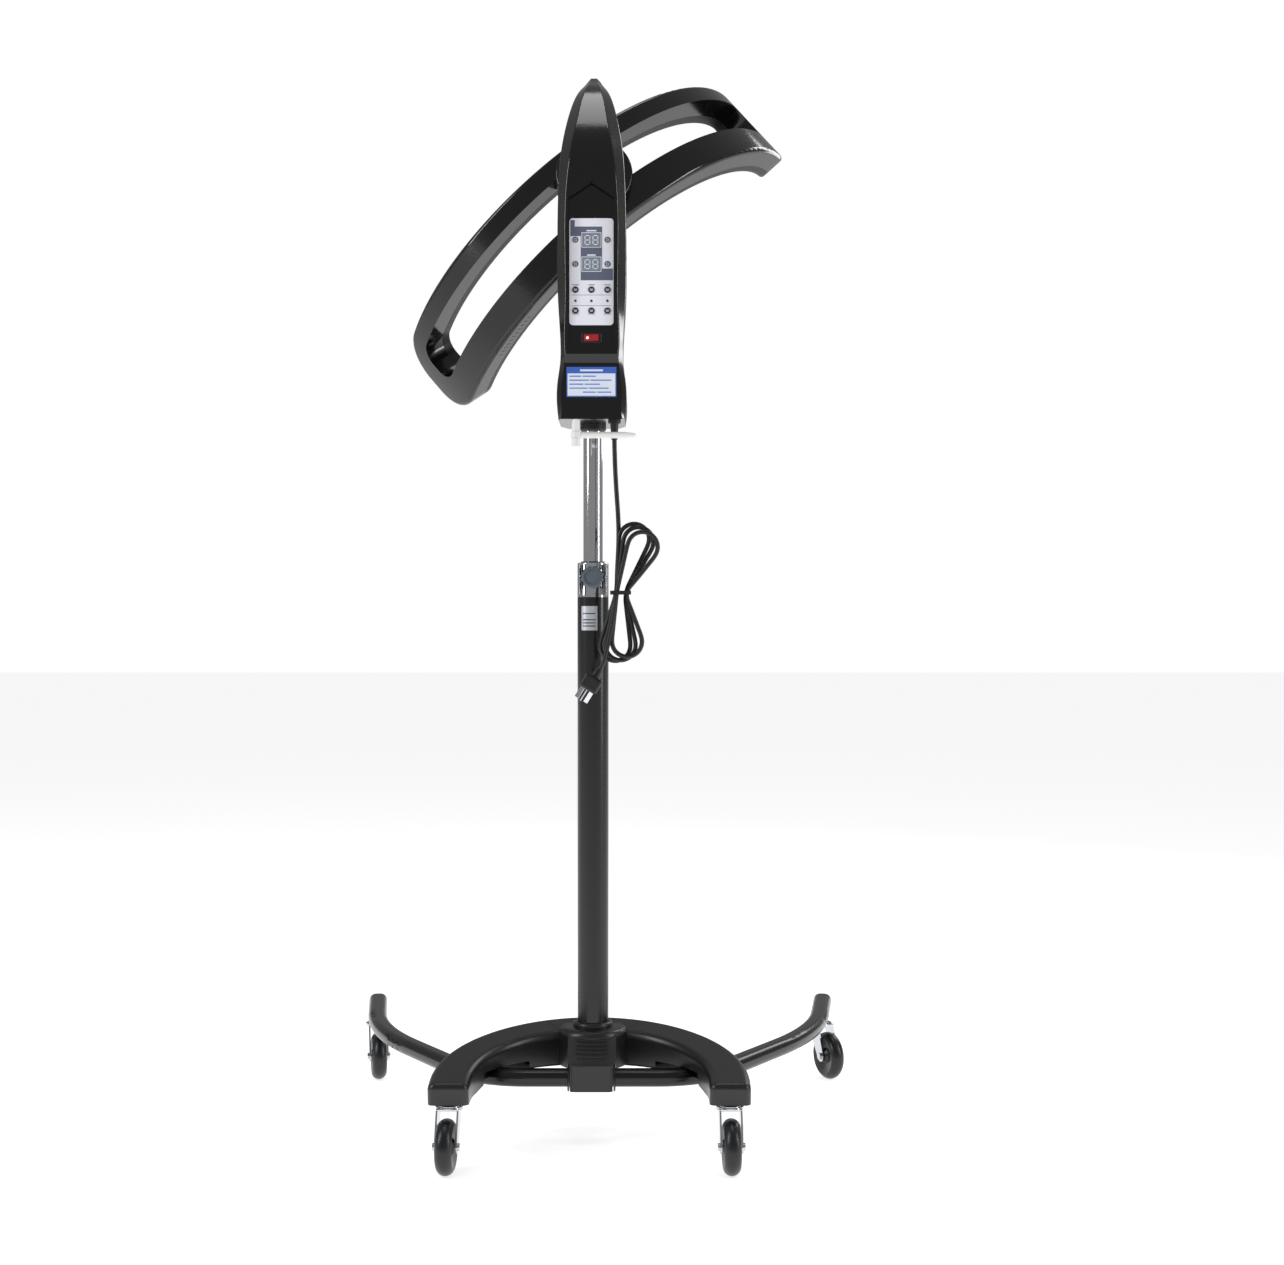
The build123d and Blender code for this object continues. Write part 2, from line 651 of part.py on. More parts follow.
def key_places():
    """Each key's X, Z and radius."""
    places = []
    for row in ARROW_ROWS:
        places += [(*panel_point(-KEY_X, row), ARROW_R), (*panel_point(KEY_X, row), ARROW_R)]
    for row in FUNCTION_ROWS:
        places += [(*panel_point(x, row), FUNCTION_R) for x in (-KEY_X, 0, KEY_X)]
    return places


def slab(sketch, near, far):
    """An XZ sketch made solid between two Y values."""
    return Pos(0, far, 0) * extrude(Plane.XZ * sketch, amount=far - near)


def housing_parts():
    """Shells, visor, panel, keys, switch, rating plate, board, hook and outlet."""
    outside = housing_solid(0)
    inside = housing_solid(HOUSING_WALL)
    inside = inside & box((-100, -200, HOUSING_STATIONS[0][0][1] + HOUSING_WALL), (100, 200, 1600))
    channel_sketch = make_face(
        Polyline(
            (-CHANNEL_HALF, CHANNEL_LOW_Z),
            (CHANNEL_HALF, CHANNEL_LOW_Z),
            (CHANNEL_HALF, CHANNEL_SIDE_Z),
            (0, CHANNEL_CROWN_Z),
            (-CHANNEL_HALF, CHANNEL_SIDE_Z),
            close=True,
        )
    )
    channel = slab(channel_sketch, CUT_Y, CHANNEL_Y)
    lining = slab(offset(channel_sketch, HOUSING_WALL), CUT_Y, CHANNEL_Y + HOUSING_WALL)
    lining = outside & lining
    wall = (outside - inside) + lining - channel

    along = orbit_frame()
    wall -= along * rod(HUB_R + 5, HUB_FACE - 60, HUB_FACE)
    seat = along * tube(SEAT_R, BEARING_R + TOUCH, HUB_FACE + 1, SEAT_BACK)
    eye = along * rod(BEARING_R + TOUCH, HUB_FACE - 60, HUB_FACE + 40)
    foot_hole = rod(HEAD_SOCKET_R + TOUCH, 1000, 1060)
    outlet_hole = Pos(*OUTLET, 0) * rod(OUTLET_R + TOUCH, 1000, 1060)
    stem_hole = Pos(*HOOK, 0) * rod(HOOK_ROD_R + TOUCH, 1000, 1060)
    wall = wall - foot_hole - outlet_hole - stem_hole

    rear = wall & box((-100, -200, 900), (100, PARTING_Y, 1700))
    front = wall & box((-100, PARTING_Y + 0.3, 900), (100, 200, 1700))
    rear -= along * rod(SEAT_R + 1, HUB_FACE, SEAT_BACK + 1)
    front = front + seat - eye

    keys = []
    for x, z, radius in key_places():
        hole = slab(Pos(x, z) * Circle(radius + KEY_GAP), CUT_Y, HOLE_Y)
        rear -= hole
        near = CHANNEL_Y - TOUCH - PANEL_THICK - KEY_PROUD
        key = slab(Pos(x, z) * Circle(radius), near, near + KEY_LENGTH)
        keys.append(chamfer(key.edges().group_by(Axis.Y)[0], 0.3))
    overlay = RectangleRounded(PANEL_WIDTH, PANEL_HEIGHT, PANEL_CORNER_R)
    overlay = Pos(*panel_point(0, 0)) * overlay
    windows = []
    for row in ARROW_ROWS:
        hole = Rectangle(DISPLAY[0] + 2 * WINDOW_GAP, DISPLAY[1] + 2 * WINDOW_GAP)
        overlay -= Pos(*panel_point(0, row)) * hole
        windows.append(Pos(*panel_point(0, row)) * Rectangle(*DISPLAY))
    for x, z, radius in key_places():
        overlay -= Pos(x, z) * Circle(radius + KEY_GAP)
    face = CHANNEL_Y - TOUCH
    panel = slab(overlay, face - PANEL_THICK, face)
    displays = several([slab(w, face - PANEL_THICK + 0.2, face) for w in windows])

    at_switch = Pos(0, SWITCH_Z)
    rocker_hole = Rectangle(ROCKER[0] + 2 * ROCKER_GAP, ROCKER[1] + 2 * ROCKER_GAP)
    frame = at_switch * (RectangleRounded(*BEZEL, 2) - rocker_hole)
    bezel = slab(frame, face - 3, face)
    bezel = chamfer(bezel.faces().sort_by(Axis.Y)[0].outer_wire().edges(), 0.8)
    rear -= slab(at_switch * rocker_hole, CUT_Y, HOLE_Y)
    half = ROCKER[0] / 2
    lean = half * tan(radians(ROCKER_TILT))
    back = [(half, 0), (0, 6), (-half, 0)]
    section = make_face(Polyline((-half, -3 - lean), (0, -3), (half, -3 - lean), *back, close=True))
    section &= Circle(half)
    rocker = Pos(0, CHANNEL_Y, SWITCH_Z) * extrude(section, amount=ROCKER[1] / 2, both=True)
    rocker = Pos(0, CHANNEL_Y, 0) * Rot(0, 0, -ROCKER_TILT) * Pos(0, -CHANNEL_Y, 0) * rocker

    visor = chevron(CHANNEL_SIDE_Z - 1, CHANNEL_SIDE_Z + 13, CHANNEL_CROWN_Z - 1, VISOR_APEX_Z)
    visor = slab(visor, VISOR_NEAR_Y, HOLE_Y)
    lean = radians(VISOR_LEAN)
    foot = (0, VISOR_FOOT_Y, CHANNEL_SIDE_Z - 1)
    lean_face = Plane(foot, x_dir=(1, 0, 0), z_dir=(0, -cos(lean), sin(lean)))
    visor = split(visor, bisect_by=lean_face, keep=Keep.BOTTOM)
    visor = visor - housing_solid(-TOUCH) - slab(offset(channel_sketch, -1), CUT_Y, CHANNEL_Y)
    visor = visor.solids().sort_by(lambda v: v.volume)[-1]

    plate = slab(Pos(0, PLATE_Z) * RectangleRounded(PLATE[0], PLATE[1], 1.5), CUT_Y, HOLE_Y)
    plate = plate & (housing_solid(-TOUCH - PLATE[2]) - housing_solid(-TOUCH))
    board_y = CHANNEL_Y + POST_LENGTH
    board = slab(Pos(0, PANEL_Z) * Rectangle(*BOARD[:2]), board_y + TOUCH, board_y + TOUCH + BOARD[2])
    for x in (-BOARD_POSTS[0], BOARD_POSTS[0]):
        for z in (-BOARD_POSTS[1], BOARD_POSTS[1]):
            post = rod(POST_R, CHANNEL_Y + HOUSING_WALL - 1, board_y)
            rear += Pos(x, 0, PANEL_Z + z) * Rot(-90, 0, 0) * post

    bottom = HOUSING_STATIONS[0][0][1]
    collar_low = bottom - 4
    relief = rod(OUTLET_R, collar_low, bottom + 8) + rod(OUTLET_R + RELIEF_FLANGE, collar_low, bottom - TOUCH)
    relief += loft([Pos(0, 0, RELIEF_LOW_Z) * Circle(RELIEF_TIP_R), Pos(0, 0, collar_low) * Circle(OUTLET_R)])
    relief = Pos(*OUTLET, 0) * (relief - rod(CORD_R + TOUCH, RELIEF_LOW_Z - 1, bottom + 9))
    stem = rod(HOOK_ROD_R, HOOK_ARM_Z - HOOK_ARM_R - 2, bottom + 10)
    nut_top = HOOK_ARM_Z - HOOK_ARM_R - HOOK_PLAY
    stem += rod(HOOK_NUT_R, nut_top + HOOK_PLAY - HOOK_NUT, nut_top)
    stem += rod(HOOK_NUT_R, HOOK_ARM_Z + HOOK_ARM_R + HOOK_PLAY, bottom - TOUCH)
    eye_ring = rod(HOOK_NUT_R + 1, HOOK_ARM_Z - HOOK_ARM_R, HOOK_ARM_Z + HOOK_ARM_R)
    level = Pos(0, 0, HOOK_ARM_Z) * Rot(0, 90, 0)
    arm = level * rod(HOOK_ARM_R, 0, HOOK_ARM_REACH - HOOK_TIP)
    tip = level * Pos(0, 0, HOOK_ARM_REACH - HOOK_TIP)
    arm += tip * extrude(Circle(HOOK_ARM_R), amount=HOOK_TIP, taper=HOOK_TIP_TAPER)
    arm = eye_ring + arm - rod(HOOK_ROD_R + RUN, 900, 1100)
    return {
        "rear_shell": rear,
        "front_shell": front,
        "visor": visor,
        "rating_plate": plate,
        "panel_overlay": panel,
        "display_windows": displays,
        "switch_bezel": bezel,
        "power_rocker": rocker,
        "control_board": board,
        "strain_relief": relief,
        "hook_stem": Pos(*HOOK, 0) * stem,
        "hook_arm": Pos(*HOOK, 0) * arm,
    } | {f"key_{n + 1}": key for n, key in enumerate(keys)}


# ---------------------------------------------------------------- ring and drive


def orbit_axis():
    """The orbit axis as a direction, from the housing towards the client."""
    return Vector(0, cos(radians(AXIS_DROP)), -sin(radians(AXIS_DROP)))


def orbit_frame():
    """A place at the ring's centre whose Z runs back along the orbit axis."""
    return Plane(RING_CENTRE, x_dir=(1, 0, 0), z_dir=orbit_axis() * -1).location


def ring_frame():
    """The ring's own place: Y along the orbit axis, Z along the bars' spacing."""
    axis = orbit_axis()
    level = Vector(1, 0, 0)
    upright = level.cross(axis)
    turn = radians(RING_TURN)
    across = level * cos(turn) + upright * sin(turn)
    return Plane(RING_CENTRE, x_dir=across, z_dir=across.cross(axis)).location


def sector(inner, outer, half_angle, low, high):
    """Part of a tube wall about Z, centred on -Y."""
    reach = 2 * outer
    edge = (reach * sin(radians(half_angle)), -reach * cos(radians(half_angle)))
    corners = [(0, 0), edge, (reach, -reach), (-reach, -reach), (-edge[0], edge[1])]
    wedge = make_face(Polyline(*corners, close=True))
    wall = (Circle(outer) - Circle(inner)) & wedge
    return Pos(0, 0, low) * extrude(wall, amount=high - low)


def end_edges(solid):
    """The four radial edges at a sector's corners."""
    return [e for e in solid.edges().filter_by(GeomType.LINE) if abs(e.tangent_at(0.5).Z) < 0.01]


def ring_solid(inset):
    """The oblong ring with its window, drawn in by an inset."""
    inner = RING_R - RING_DEPTH / 2 + inset
    outer = RING_R + RING_DEPTH / 2 - inset
    turn = degrees(inset / RING_R)
    body = sector(inner, outer, RING_HALF_ANGLE - turn, RING_LOW[0] + inset, RING_HIGH[1] - inset)
    body = fillet(end_edges(body), RING_CORNER_R - inset)
    if not inset:
        rims = [e for e in body.edges() if abs(e.tangent_at(0.5).dot(radial(e.center()))) < 0.5]
        body = fillet(rims, RING_ROUND)
    low, high = RING_LOW[1] - inset, RING_HIGH[0] + inset
    window = sector(inner - 20, outer + 20, WINDOW_HALF_ANGLE + turn, low, high)
    window = fillet(end_edges(window), WINDOW_CORNER_R)
    return body - window


def radial(point):
    """Unit vector from the ring's own axis to a point."""
    return Vector(point.X, point.Y, 0).normalized()


def ring_parts():
    """Outer shell, grille, reflectors, lamps, hub, shaft, bushes and motor."""
    whole = ring_solid(0)
    hollow = ring_solid(RING_WALL)
    wall = whole - hollow
    parting = RING_R + RING_PARTING
    core = Pos(0, 0, -200) * extrude(Circle(parting), amount=400)
    grille = wall & core
    shell = wall - Pos(0, 0, -200) * extrude(Circle(parting + TOUCH), amount=400)

    bars = [(RING_LOW[0] + RING_LOW[1]) / 2, (RING_HIGH[0] + RING_HIGH[1]) / 2]
    lamps = []
    reflectors = []
    cuts = []
    sweep_angle = LAMP_ANGLES[1] - LAMP_ANGLES[0]
    for middle in bars:
        for side in (-1, 1):
            start = LAMP_ANGLES[0] if side > 0 else -LAMP_ANGLES[1]
            at = Rot(0, 0, start - 90) * Plane.XZ.location
            lamp = at * (Pos(RING_R - LAMP_INSET, middle) * Circle(LAMP_R))
            lamps.append(revolve(lamp, Axis.Z, sweep_angle))
            gutter = Circle(REFLECTOR_R) - Circle(REFLECTOR_R - REFLECTOR_SHEET)
            outer_half = Pos(REFLECTOR_R, 0) * Rectangle(2 * REFLECTOR_R, 2 * REFLECTOR_R)
            gutter = Pos(RING_R - LAMP_INSET, middle) * (gutter & outer_half)
            reflectors.append(revolve(at * gutter, Axis.Z, sweep_angle))
            angle = start + 1.0
            while angle < start + sweep_angle:
                radius = RING_R - RING_DEPTH / 2
                long = RING_HIGH[1] - RING_HIGH[0] - SLOT_MARGIN
                slot = Pos(radius, 0, middle) * Box(12, SLOT_WIDTH, long)
                cuts.append(Rot(0, 0, angle - 90) * slot)
                angle += SLOT_STEP
    grille -= cuts
    vents = []
    angle = VENT_ANGLES[0]
    while angle < VENT_ANGLES[1]:
        for row in VENT_ROWS:
            hole = Pos(RING_R + row, 0, RING_LOW[0]) * Box(VENT, VENT, 10)
            vents.append(Rot(0, 0, -angle - 90) * hole)
        angle += VENT_STEP
    shell -= vents

    turn_back = Rot(90, 0, 0)
    hub = turn_back * rod(HUB_R, HUB_BACK - HUB_LENGTH, HUB_BACK)
    hub = fillet(hub.edges().sort_by(Axis.Y)[0], 3)
    saddle = Pos(0, 0, -100) * extrude(Circle(RING_R + RING_DEPTH / 2 + TOUCH), amount=200)
    opening_low = (-90, -400, RING_LOW[1] + TOUCH)
    opening = box(opening_low, (90, -RING_R - RING_PARTING, RING_HIGH[0] - TOUCH))
    plug = (hub & opening) & saddle
    hub = (hub - saddle) + plug
    hub -= turn_back * rod(SHAFT_R + TOUCH, HUB_BACK - SHAFT_GRIP, HUB_BACK + 1)
    shaft = rod(SHAFT_R, HUB_BACK - SHAFT_GRIP + TOUCH, MOTOR_FRONT - 1)
    shaft += rod(SPINDLE_R, MOTOR_FRONT - 2, SHAFT_END)
    place = ring_frame()
    along = orbit_frame()
    bushes = []
    for low in (HUB_FACE + 2, MOTOR_FRONT - BEARING_WIDTH - 2):
        bushes.append(tube(BEARING_R, SHAFT_R + RUN, low, low + BEARING_WIDTH))
    motor = rod(BEARING_R, MOTOR_FRONT, MOTOR_BACK)
    motor -= rod(SPINDLE_R + RUN, MOTOR_FRONT - 1, SHAFT_END + 1)
    return {
        "ring_outer_shell": place * shell,
        "ring_inner_grille": place * grille,
        "ring_reflectors": place * several(reflectors),
        "heater_tubes": place * several(lamps),
        "ring_hub": place * hub,
        "drive_shaft": along * shaft,
        "shaft_bushes": along * several(bushes),
        "orbit_motor": along * motor,
    }


# ---------------------------------------------------------------- cord


def bend_radii(points):
    """Largest tangent arcs that leave a tenth of the shorter run straight at each bend."""
    runs = [Vector(*b) - Vector(*a) for a, b in zip(points, points[1:])]
    radii = []
    for before, after in zip(runs, runs[1:]):
        half_turn = acos(before.normalized().dot(after.normalized())) / 2
        radii.append(0.45 * min(before.length, after.length) / tan(half_turn))
    return radii


def cord_parts():
    """Lead, tied hank, tie, tail and plug."""
    radii = bend_radii(LEAD)
    route = FilletPolyline(*LEAD, radius=radii)
    lead = sweep(Plane(route @ 0, z_dir=route % 0) * Circle(CORD_R), path=route)
    section = radians(180) * CORD_R**2
    print("lead bends", [round(r) for r in radii], "length", round(route.length, 1))
    print("lead volume", round(lead.volume), "section by length", round(section * route.length))
    tail_line = Line(*TAIL)
    tail = sweep(Plane(tail_line @ 0, z_dir=tail_line % 0) * Circle(CORD_R), path=tail_line)
    outline = make_face(Polyline(*HANK_OUTLINE, close=True))
    outline = fillet(outline.vertices(), 6)
    hank = slab(outline, HANK_Y - HANK_DEPTH / 2, HANK_Y + HANK_DEPTH / 2)
    waist = [x for x, z in HANK_OUTLINE if abs(z - TIE_Z) < 9]
    grow = TIE_THICK + TOUCH
    deep = HANK_DEPTH / 2
    low = TIE_Z - TIE_HEIGHT / 2
    high = TIE_Z + TIE_HEIGHT / 2
    left, right = min(waist), max(waist)
    near, far = HANK_Y - deep, HANK_Y + deep
    tie = box((left - grow, near - grow, low), (right + grow, far + grow, high))
    tie -= box((left - TOUCH, near - TOUCH, low - 1), (right + TOUCH, far + TOUCH, high + 1))
    lead -= hank
    tail -= hank
    way = Vector(-sin(radians(PLUG_LEAN)), 0, -cos(radians(PLUG_LEAN)))
    at = Plane(TAIL[1], x_dir=(0, 1, 0), z_dir=way).location
    neck = extrude(Circle(CORD_R + 1.5), amount=PLUG_NECK + 1, taper=-12)
    body = Pos(0, 0, PLUG_NECK + PLUG[2] / 2) * Box(PLUG[1], PLUG[0], PLUG[2])
    body = fillet(body.edges(), 4)
    body = at * (neck + body)
    tail -= body
    pins = []
    for x, y, extra, turn in ((-4, -7, 0, 20), (-4, 7, 0, -20), (4, 0, 2, 90)):
        long = PIN[2] + extra
        pin = Rot(0, 0, turn) * Box(PIN[0], PIN[1], long)
        pins.append(Pos(x, y, PLUG_NECK + PLUG[2] + long / 2 + TOUCH) * pin)
    return {
        "cord_lead": lead,
        "cord_hank": hank,
        "cord_tie": tie,
        "cord_tail": tail,
        "plug_body": body,
        "plug_pins": at * several(pins),
    }


# ---------------------------------------------------------------- whole


def all_parts():
    """Every node, placed about the column's axis."""
    nodes = base_parts() | column_parts() | housing_parts() | ring_parts() | cord_parts()
    for name, x, y, yaw in castor_places():
        place = Pos(x, y, 0) * Rot(0, 0, yaw)
        nodes[f"fork_{name}"] = place * castor_fork()
        nodes[f"wheel_{name}"] = place * castor_wheel()
    return nodes


def main():
    """Build each node, centre the whole over the origin and write one file a node."""
    os.makedirs(OUT, exist_ok=True)
    nodes = all_parts()
    bounds = Compound(children=[several([n]) for n in nodes.values()]).bounding_box()
    shift = Pos(0, -(bounds.min.Y + bounds.max.Y) / 2, -bounds.min.Z)
    print("shift", shift.position.Y, "height", bounds.size.Z)
    for name, node in nodes.items():
        placed = several([shift * several([node])])
        if len(placed.solids()) == 1:
            placed = placed.solids()[0]
        placed.label = name
        export_step(placed, f"{OUT}/{name}.step")
        print(name, len(placed.solids()), round(sum(s.volume for s in placed.solids())))


if __name__ == "__main__":
    main()
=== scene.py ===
"""Looks of an orbiting infrared hair processor on a rolling stand.

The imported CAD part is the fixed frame. This script gives its nodes their finishes and adds
the printed panel, key marks, displays, labels, the hanked mains cord, the camera and lights.
"""

import logging
import math
from dataclasses import dataclass, field
from enum import Enum
from typing import Any, Iterable, Sequence

import bmesh
import bpy
from mathutils import Matrix, Vector


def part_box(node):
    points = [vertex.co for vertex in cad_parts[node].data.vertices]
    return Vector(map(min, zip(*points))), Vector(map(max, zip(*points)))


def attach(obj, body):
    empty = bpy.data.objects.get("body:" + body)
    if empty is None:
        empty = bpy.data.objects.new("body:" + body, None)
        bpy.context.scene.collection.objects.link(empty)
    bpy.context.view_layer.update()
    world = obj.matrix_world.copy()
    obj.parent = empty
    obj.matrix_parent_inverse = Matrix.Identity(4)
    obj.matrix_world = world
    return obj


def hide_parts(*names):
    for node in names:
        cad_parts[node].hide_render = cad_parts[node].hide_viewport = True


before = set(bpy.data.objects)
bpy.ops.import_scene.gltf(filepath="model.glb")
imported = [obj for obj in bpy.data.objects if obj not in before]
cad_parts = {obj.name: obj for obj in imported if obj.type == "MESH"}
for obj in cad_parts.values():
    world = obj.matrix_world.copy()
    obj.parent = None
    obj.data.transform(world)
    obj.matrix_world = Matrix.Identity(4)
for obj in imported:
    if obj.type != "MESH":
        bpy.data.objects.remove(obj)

LOG = logging.getLogger("hair_processor")
MM = 0.001

# Thickness in millimetres of a printed layer and of a second one over it
INK_MM = 0.12
OVERPRINT_MM = 0.08

# Corners of the smallest round pieces, and steps in a thin ring and in a label's bend
SMALL_DISC_SIDES = 20
HOOP_STEPS = 32
LABEL_STEPS = 14

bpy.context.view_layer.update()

Rect = tuple[float, float, float, float]
Point = tuple[float, float, float]


# ------------------------------------------------------------------ finishes


class Grain(Enum):
    """How a surface was made, which sets the pattern of its fine relief."""

    NONE = "none"
    PEEL = "orange peel of a gloss moulding or a coat of paint"
    SPARK = "spark-eroded mould texture"
    BRUSHED = "brushed along one way"


# Octaves of noise in each kind of relief, its height as a share of its spacing, and how
# far brush lines are drawn out along Z
GRAIN_DETAIL = {Grain.PEEL: 1.0, Grain.SPARK: 5.0, Grain.BRUSHED: 3.0}
GRAIN_HEIGHT = 0.2
BRUSH_STRETCH = (1.0, 1.0, 0.03)
COAT_ROUGHNESS = 0.04


@dataclass(frozen=True)
class Finish:
    """One real material and how its surface was made.

    Attributes:
        name: The material's common name.
        colour: sRGB hex of the surface.
        roughness: Microfacet roughness.
        metallic: 1 for bare metal.
        ior: Index of refraction, left alone on metals.
        coat: Weight of a clear gloss layer.
        transmission: Share of light let through.
        glow: Strength of emission in the surface's own colour.
        grain: The kind of relief.
        grain_mm: Spacing of the relief.
        grain_depth: Strength of the relief.
    """

    name: str
    colour: str
    roughness: float
    metallic: float = 0.0
    ior: float = 1.5
    coat: float = 0.0
    transmission: float = 0.0
    glow: float = 0.0
    grain: Grain = Grain.NONE
    grain_mm: float = 1.0
    grain_depth: float = 0.1

    def make(self) -> bpy.types.Material:
        """Returns this finish as a material, made once."""
        known = bpy.data.materials.get(self.name)
        if known:
            return known
        material = bpy.data.materials.new(self.name)
        material.use_nodes = True
        tree = material.node_tree
        shader = tree.nodes["Principled BSDF"]
        rgba = linear(self.colour)
        shader.inputs["Base Color"].default_value = rgba
        shader.inputs["Roughness"].default_value = self.roughness
        shader.inputs["Metallic"].default_value = self.metallic
        if not self.metallic:
            shader.inputs["IOR"].default_value = self.ior
        shader.inputs["Coat Weight"].default_value = self.coat
        shader.inputs["Coat Roughness"].default_value = COAT_ROUGHNESS
        shader.inputs["Transmission Weight"].default_value = self.transmission
        if self.glow:
            shader.inputs["Emission Color"].default_value = rgba
            shader.inputs["Emission Strength"].default_value = self.glow
        if self.grain is not Grain.NONE:
            self._relief(tree, shader)
        return material

    def _relief(self, tree: bpy.types.NodeTree, shader: bpy.types.Node) -> None:
        """Adds the fine relief.

        Args:
            tree: The material's nodes.
            shader: The shader that takes the relief.
        """
        place = add(tree, "ShaderNodeTexCoord", {}, {})
        stretch = BRUSH_STRETCH if self.grain is Grain.BRUSHED else (1.0, 1.0, 1.0)
        turned = add(tree, "ShaderNodeMapping", {"Scale": stretch}, {"Vector": place.outputs["Object"]})
        settings = {"Scale": 1.0 / (self.grain_mm * MM), "Detail": GRAIN_DETAIL[self.grain]}
        noise = add(tree, "ShaderNodeTexNoise", settings, {"Vector": turned.outputs[0]})
        bump = add(
            tree,
            "ShaderNodeBump",
            {"Strength": self.grain_depth, "Distance": self.grain_mm * MM * GRAIN_HEIGHT},
            {"Height": noise.outputs[0]},
        )
        tree.links.new(bump.outputs["Normal"], shader.inputs["Normal"])


def linear(code: str) -> tuple[float, float, float, float]:
    """Turns an sRGB hex code to linear colour.

    Args:
        code: Such as "#1A2B3C".

    Returns:
        Linear red, green, blue and full alpha.
    """
    parts = [int(code[i : i + 2], 16) / 255 for i in (1, 3, 5)]
    red, green, blue = (c / 12.92 if c <= 0.04045 else ((c + 0.055) / 1.055) ** 2.4 for c in parts)
    return red, green, blue, 1.0


def add(
    tree: bpy.types.NodeTree, kind: str, settings: dict[str, Any], links: dict[str, Any]
) -> bpy.types.Node:
    """Adds one node with its settings and links.

    Args:
        tree: The material's nodes.
        kind: Blender's name for the node.
        settings: Input values by socket name.
        links: Outputs of other nodes by socket name.

    Returns:
        The new node.
    """
    node = tree.nodes.new(kind)
    for name, value in settings.items():
        node.inputs[name].default_value = value
    for name, source in links.items():
        tree.links.new(source, node.inputs[name])
    return node


# ABS moulded in a polished tool: deep charcoal with sharp, faintly rippled reflections
GLOSS_ABS = Finish(
    "ABS, gloss moulded", "#08080A", 0.14, ior=1.54, grain=Grain.PEEL, grain_mm=9.0, grain_depth=0.04
)
# ABS from a spark-eroded tool: a dark satin that scatters the light
SATIN_ABS = Finish(
    "ABS, satin moulded", "#121315", 0.34, ior=1.54, grain=Grain.SPARK, grain_mm=0.9, grain_depth=0.10
)
# Enamelled steel tube: black, glossy, a little wavy along the tube
ENAMEL = Finish("steel, black enamel", "#060607", 0.24, grain=Grain.PEEL, grain_mm=6.0, grain_depth=0.04)
# Chrome plate: a bright mirror
CHROME = Finish("steel, chrome plated", "#DCDDE0", 0.07, metallic=1.0)
# Pressed and plated fork steel: bright but less even than the pole
FORK_CHROME = Finish(
    "pressed steel, chrome plated",
    "#C9CBCF",
    0.16,
    metallic=1.0,
    grain=Grain.PEEL,
    grain_mm=3.0,
    grain_depth=0.05,
)
# Polyurethane tread: near black with a cold sheen
TREAD = Finish(
    "polyurethane tread", "#0E1014", 0.34, ior=1.5, grain=Grain.SPARK, grain_mm=1.2, grain_depth=0.05
)
# Glass-filled nylon: dull black
NYLON = Finish("nylon, black moulded", "#0E0E10", 0.48, grain=Grain.SPARK, grain_mm=0.8, grain_depth=0.12)
# Acetal knob: slate grey satin
ACETAL = Finish("acetal, slate grey", "#58626C", 0.42, grain=Grain.SPARK, grain_mm=0.7, grain_depth=0.08)
# Polyester membrane: near white film
FILM = Finish("polyester film, pale", "#E9EAF3", 0.30)
# Ink screened on the film's back: slate
SLATE_INK = Finish("screen ink, slate", "#5F6478", 0.34)
DARK_INK = Finish("screen ink, black", "#23252E", 0.40)
BLUE_INK = Finish("screen ink, blue", "#3A62BC", 0.36)
PALE_INK = Finish("screen ink, pale blue", "#D6E0F2", 0.38)
# Silicone key caps: soft white
SILICONE = Finish("silicone, pale", "#DADCE6", 0.45)
# Liquid crystal cell: blue-grey behind glass
LCD = Finish("liquid crystal cell", "#7C8692", 0.12, ior=1.52)
# Polycarbonate rocker, tinted red right through, with a faint painted glow that brightens its red
RED_PC_PAINTED_GLOW = Finish("polycarbonate, red, with painted glow", "#A01424", 0.14, ior=1.58, coat=0.4, glow=0.04)
# Painted highlight: a pale glowing disc on the rocker stands for the light's reflection there
ROCKER_PAINTED_HIGHLIGHT = Finish("painted highlight, rocker", "#FFE4DE", 0.18, ior=1.58, glow=0.5)
# Self-adhesive aluminium foil: satin silver
FOIL = Finish("aluminium foil, satin", "#C9CCD3", 0.34, metallic=1.0)
# Label paper: matt, pale
LABEL = Finish("label stock, pale", "#DCE4F1", 0.45)
# Epoxy powder on steel rod: white, even
POWDER = Finish(
    "steel, white powder coat", "#E4E4E2", 0.36, grain=Grain.PEEL, grain_mm=2.0, grain_depth=0.06
)
# Flexible PVC sheath: black, slightly soft gloss
PVC = Finish("PVC sheath, black", "#0C0C0E", 0.38, grain=Grain.SPARK, grain_mm=1.5, grain_depth=0.05)
# Anodised aluminium grille: black and dry
ANODISED = Finish(
    "aluminium, black anodised",
    "#1D1D1F",
    0.42,
    metallic=0.6,
    grain=Grain.SPARK,
    grain_mm=0.8,
    grain_depth=0.08,
)
# Polished aluminium reflector
REFLECTOR = Finish("aluminium, polished", "#E3E3E3", 0.12, metallic=1.0)
# Ruby-coated quartz lamp tube
RUBY_QUARTZ = Finish("quartz, ruby coated", "#8E2A1C", 0.10, ior=1.46, transmission=0.35)
# Turned steel motor can and shaft
TURNED = Finish(
    "steel, turned", "#A2A4A6", 0.32, metallic=1.0, grain=Grain.BRUSHED, grain_mm=0.8, grain_depth=0.15
)
# Glass-epoxy board with green solder mask
FR4 = Finish("glass epoxy, green mask", "#14532D", 0.35)
# Studio floor: matt pale paint
STUDIO = Finish("floor paint, pale", "#F4F4F4", 0.75, glow=0.74)


# ------------------------------------------------------------------ small makers


def dress(node: str, finish: Finish) -> None:
    """Gives a CAD node its finish.

    Args:
        node: The node's name.
        finish: Its material.
    """
    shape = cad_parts[node]
    shape.data.materials.clear()
    shape.data.materials.append(finish.make())
    LOG.info("%s: %s", node, finish.name)


